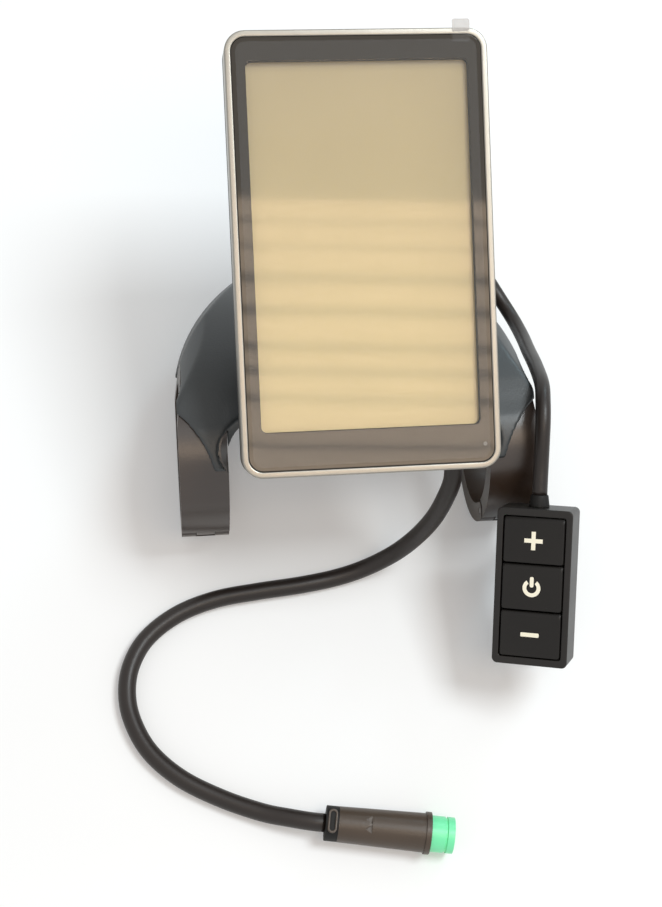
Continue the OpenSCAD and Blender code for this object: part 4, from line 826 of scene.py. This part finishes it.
class OBJECT_OT_display_head(bpy.types.Operator):
    """Metal rim, printed glass border, clear window, screen, film with its pull tab"""
    bl_idname = "display.head"
    bl_label = "Display head"

    def execute(self, context):
        look, finish = context.scene.display_head, finishes()
        self.rim(look, finish)
        self.face(look, finish)
        for node, key, width in (("back_cover", "cover", 0.5), ("case_seal", "rubber", 0.05),
                                 ("tilt_tongue", "cover", 0.4), ("main_gland", "rubber", 0.2),
                                 ("pad_gland", "rubber", 0.2), ("case_screws", "black_steel", 0.12),
                                 ("tongue_screws", "black_steel", 0.15)):
            softened(node, finish[key], width)
        for node, key in (("lens_gasket", "rubber"), ("backlight", "white"), ("lcd_carrier", "chips"),
                          ("ribbon_cable", "amber"), ("light_sensor", "white"), ("main_board", "board"),
                          ("board_parts", "chips"), ("board_screws", "steel"), ("buzzer", "chips")):
            carried_over(node, finish[key])
        return {"FINISHED"}

    def inner(self, look):
        """Width, height and corner radius of the rim's opening."""
        return (look.case_width - 2 * look.rim_wall, look.case_height - 2 * look.rim_wall,
                look.rim_round - look.rim_wall)

    def rim(self, look, finish):
        """The metal rim, with the narrow seat inside it on which the glass lies."""
        outer = (look.case_width, look.case_height, look.rim_round)
        inner = self.inner(look)
        seat = (inner[0] - SEAT_LESS, inner[1] - SEAT_LESS, inner[2] - SEAT_ROUND_LESS)
        rows = [outer + (RIM_FOOT,), outer + (RIM_TOP,), inner + (RIM_TOP,), inner + (SEAT_TOP,),
                seat + (SEAT_TOP,), seat + (SEAT_FOOT,), inner + (SEAT_FOOT,), inner + (RIM_FOOT,)]
        rim = stacked("metal_rim", rows, HEAD, finish["rim"], ease=look.edge, loop=True)
        stands_for(rim, "front_frame")

    def face(self, look, finish):
        """Glass with its printed border and clear window, the panel under it, the film over it."""
        sw, sh, up = look.screen_width, look.screen_height, look.screen_up
        gw, gh, gr = self.inner(look)
        gw, gh = gw - GLASS_LESS, gh - GLASS_LESS
        border = [(gw, gh, gr, GLASS_FOOT), (gw, gh, gr, 0), (sw, sh, SCREEN_ROUND, 0, 0, up),
                  (sw, sh, SCREEN_ROUND, GLASS_FOOT, 0, up)]
        border = stacked("glass_border", border, HEAD, finish["border"], ease=GLASS_EASE, loop=True)
        stands_for(border, "cover_glass")
        window = slab(sw, sh, SCREEN_ROUND, GLASS_FOOT, WINDOW_TOP, 0, up)
        beside(stacked("glass_window", window, HEAD, finish["window"], ease=SCREEN_EASE), "cover_glass")
        panel = slab(sw + PANEL_MORE, sh + PANEL_MORE, PANEL_ROUND, PANEL_FOOT, PANEL_TOP, 0, up)
        stands_for(stacked("screen_panel", panel, HEAD, finish["screen"], ease=SCREEN_EASE), "lcd_panel")
        film = slab(gw - FILM_LESS, gh - FILM_LESS, gr - FILM_ROUND_LESS, FILM_FOOT, FILM_TOP)
        stands_for(stacked("film_sheet", film, HEAD, finish["film"], ease=FILM_EASE), "screen_film")
        for name, key, (length, corner, past) in (("film_tab_root", "film", TAB_ROOT),
                                                  ("film_tab", "tab", TAB_END)):
            tab = slab(TAB_WIDTH, length, corner, TAB_FOOT, TAB_TOP, TAB_X, gh / 2 + past)
            beside(stacked(name, tab, HEAD, finish[key], ease=FILM_EASE), "screen_film")
        spot = (SENSOR_X, up - sh / 2 - SENSOR_UNDER_SCREEN)
        sensor = outline(SENSOR_WIDTH, SENSOR_WIDTH, SENSOR_WIDTH / 2, spot, corner_steps=6)
        sensor = cut_plate("sensor_window", [sensor], SENSOR_FOOT, SENSOR_TOP, HEAD, finish["smoked"])
        beside(sensor, "light_sensor")


def carried_over(node, material):
    """A solid that stays as it is, with its finish."""
    data = NODES[node].data
    data.materials.clear()
    data.materials.append(material)


class OBJECT_OT_display_bracket(bpy.types.Operator):
    """Arch, clamp rings and the tilt joint under the display"""
    bl_idname = "display.bracket"
    bl_label = "Bracket"

    def execute(self, context):
        look, finish = context.scene.display_bracket, finishes()
        softened("arch", finish["bracket"], 0, "arch_moulding", look.skin, look.smoothing)
        for node in ("clamp_jaw_left", "clamp_jaw_right", "clamp_cap_left", "clamp_cap_right"):
            softened(node, finish["ring"], look.ring_edge)
        for node, key, width in (("tilt_yoke", "cover", 0.5), ("tilt_bolt", "black_steel", 0.3),
                                 ("tilt_nut", "black_steel", 0.3), ("tilt_washers", "steel", 0.1),
                                 ("yoke_bolt", "black_steel", 0.3), ("clamp_screw_left", "steel", 0.2),
                                 ("clamp_screw_right", "steel", 0.2), ("clamp_pins", "steel", 0.1),
                                 ("clamp_inserts", "brass", 0.1), ("jaw_screws", "black_steel", 0.1)):
            softened(node, finish[key], width)
        return {"FINISHED"}


# Sizes in the pad's frame, in millimetres, with its face at 0
CASE_ROUND, OPENING_ROUND, INSIDE_ROUND = 1.2, 0.6, 0.5
FACE_UNDERSIDE, CASE_INSIDE_LESS = -1.2, 2
KEY_ROOM, KEY_ROUND = 0.4, 0.5
KEY_FOOT, KEY_SHOULDER = -2.7, 0.75
KEY_TOP_LESS, KEY_TOP_BACK = (0.7, 1.3), 0.45
MARK_SUNK, MARK_PROUD = 0.1, 0.02
CASE_EASE, KEY_EASE = 0.28, 0.2


class OBJECT_OT_display_pad(bpy.types.Operator):
    """Key pad: case, three keys with their marks, entry boot, and its small clamp"""
    bl_idname = "display.pad"
    bl_label = "Key pad"

    def execute(self, context):
        look, finish = context.scene.display_pad, finishes()
        w, l, d = look.width, look.length, look.depth
        open_w, open_l = look.key_width + KEY_ROOM, look.key_length + 2 * look.key_pitch + KEY_ROOM
        outer, opening = (w, l, CASE_ROUND), (open_w, open_l, OPENING_ROUND)
        inner = (w - CASE_INSIDE_LESS, l - CASE_INSIDE_LESS, INSIDE_ROUND)
        case = [outer + (-d,), outer + (0,), opening + (0,), opening + (FACE_UNDERSIDE,),
                inner + (FACE_UNDERSIDE,), inner + (-d,)]
        case = stacked("pad_shell", case, PAD, finish["pad"], ease=CASE_EASE, loop=True)
        stands_for(case, "pad_case")
        for row, node, shapes in ((1, "button_plus", self.plus()), (0, "button_power", self.power()),
                                  (-1, "button_minus", self.minus())):
            y = row * look.key_pitch
            top_w, top_l = look.key_width - KEY_TOP_LESS[0], look.key_length - KEY_TOP_LESS[1]
            key = slab(look.key_width, look.key_length, KEY_ROUND, KEY_FOOT, look.proud - KEY_SHOULDER,
                       0, y)
            key.append((top_w, top_l, KEY_ROUND, look.proud, 0, y - KEY_TOP_BACK))
            key = stacked(node.replace("button", "key"), key, PAD, finish["key"], ease=KEY_EASE)
            stands_for(key, node)
            marks = [np.asarray(s) + [0, y] for s in shapes]
            mark = cut_plate(node.replace("button", "mark"), marks, look.proud - MARK_SUNK,
                             look.proud + MARK_PROUD, PAD, finish["mark"])
            beside(mark, node)
        for node, key, width in (("pad_base", "pad", 0.3), ("pad_cap", "pad", 0.3),
                                 ("pad_entry", "rubber", 0.2), ("pad_cap_screw", "steel", 0.2),
                                 ("pad_screws", "steel", 0.1), ("pad_pin", "steel", 0.1),
                                 ("pad_insert", "brass", 0.1)):
            softened(node, finish[key], width)
        for node, key in (("key_mat", "rubber"), ("pad_board", "board"), ("pad_switches", "white")):
            carried_over(node, finish[key])
        return {"FINISHED"}

    def plus(self, arm=2.1, half=0.475):
        """Twelve corners of an upright cross."""
        return [[(arm, -half), (arm, half), (half, half), (half, arm), (-half, arm), (-half, half),
                 (-arm, half), (-arm, -half), (-half, -half), (-half, -arm), (half, -arm), (half, -half)]]

    def minus(self, arm=2.1, half=0.475):
        """One bar with lightly rounded corners."""
        return [outline(2 * arm, 2 * half, 0.2, corner_steps=4)]

    def power(self, radius=2.05, half=0.44, gap_deg=36):
        """A ring left open at its top, out along one arc and back along the other, and a bar."""
        turn = np.radians(np.linspace(90 + gap_deg, 450 - gap_deg, 48))
        arc = np.column_stack([np.cos(turn), np.sin(turn)])
        bar = outline(2 * half, 2.4, 0.35, (0, 1.35), corner_steps=4)
        return [np.vstack([arc * radius, arc[::-1] * (radius - 2 * half)])[::-1], bar]


class VIEW3D_PT_display(bpy.types.Panel):
    """The object's sizes and the makers of its pieces"""
    bl_idname = "VIEW3D_PT_display"
    bl_label = "Handlebar display"
    bl_space_type = "VIEW_3D"
    bl_region_type = "UI"
    bl_category = "Display"

    def draw(self, context):
        for group, maker in STEPS:
            box = self.layout.box()
            settings = getattr(context.scene, group)
            for key in settings.__annotations__:
                box.prop(settings, key)
            box.operator(maker.bl_idname)


GROUPS = {"display_stage": StageLook, "display_leads": LeadLook, "display_head": DisplayLook,
          "display_bracket": BracketLook, "display_pad": PadLook}
STEPS = [("display_stage", OBJECT_OT_display_stage), ("display_leads", OBJECT_OT_display_leads),
         ("display_head", OBJECT_OT_display_head), ("display_bracket", OBJECT_OT_display_bracket),
         ("display_pad", OBJECT_OT_display_pad)]


def register():
    """Adds the groups, operators and panel."""
    for name, group in GROUPS.items():
        bpy.utils.register_class(group)
        setattr(bpy.types.Scene, name, PointerProperty(type=group))
    for _, maker in STEPS:
        bpy.utils.register_class(maker)
    bpy.utils.register_class(VIEW3D_PT_display)


def unregister():
    """Takes them away again."""
    bpy.utils.unregister_class(VIEW3D_PT_display)
    for _, maker in reversed(STEPS):
        bpy.utils.unregister_class(maker)
    for name, group in GROUPS.items():
        delattr(bpy.types.Scene, name)
        bpy.utils.unregister_class(group)


def main():
    """Makes everything in order."""
    register()
    bpy.ops.display.stage()
    bpy.ops.display.leads()
    bpy.ops.display.head()
    bpy.ops.display.bracket()
    bpy.ops.display.pad()


if __name__ == "__main__":
    main()
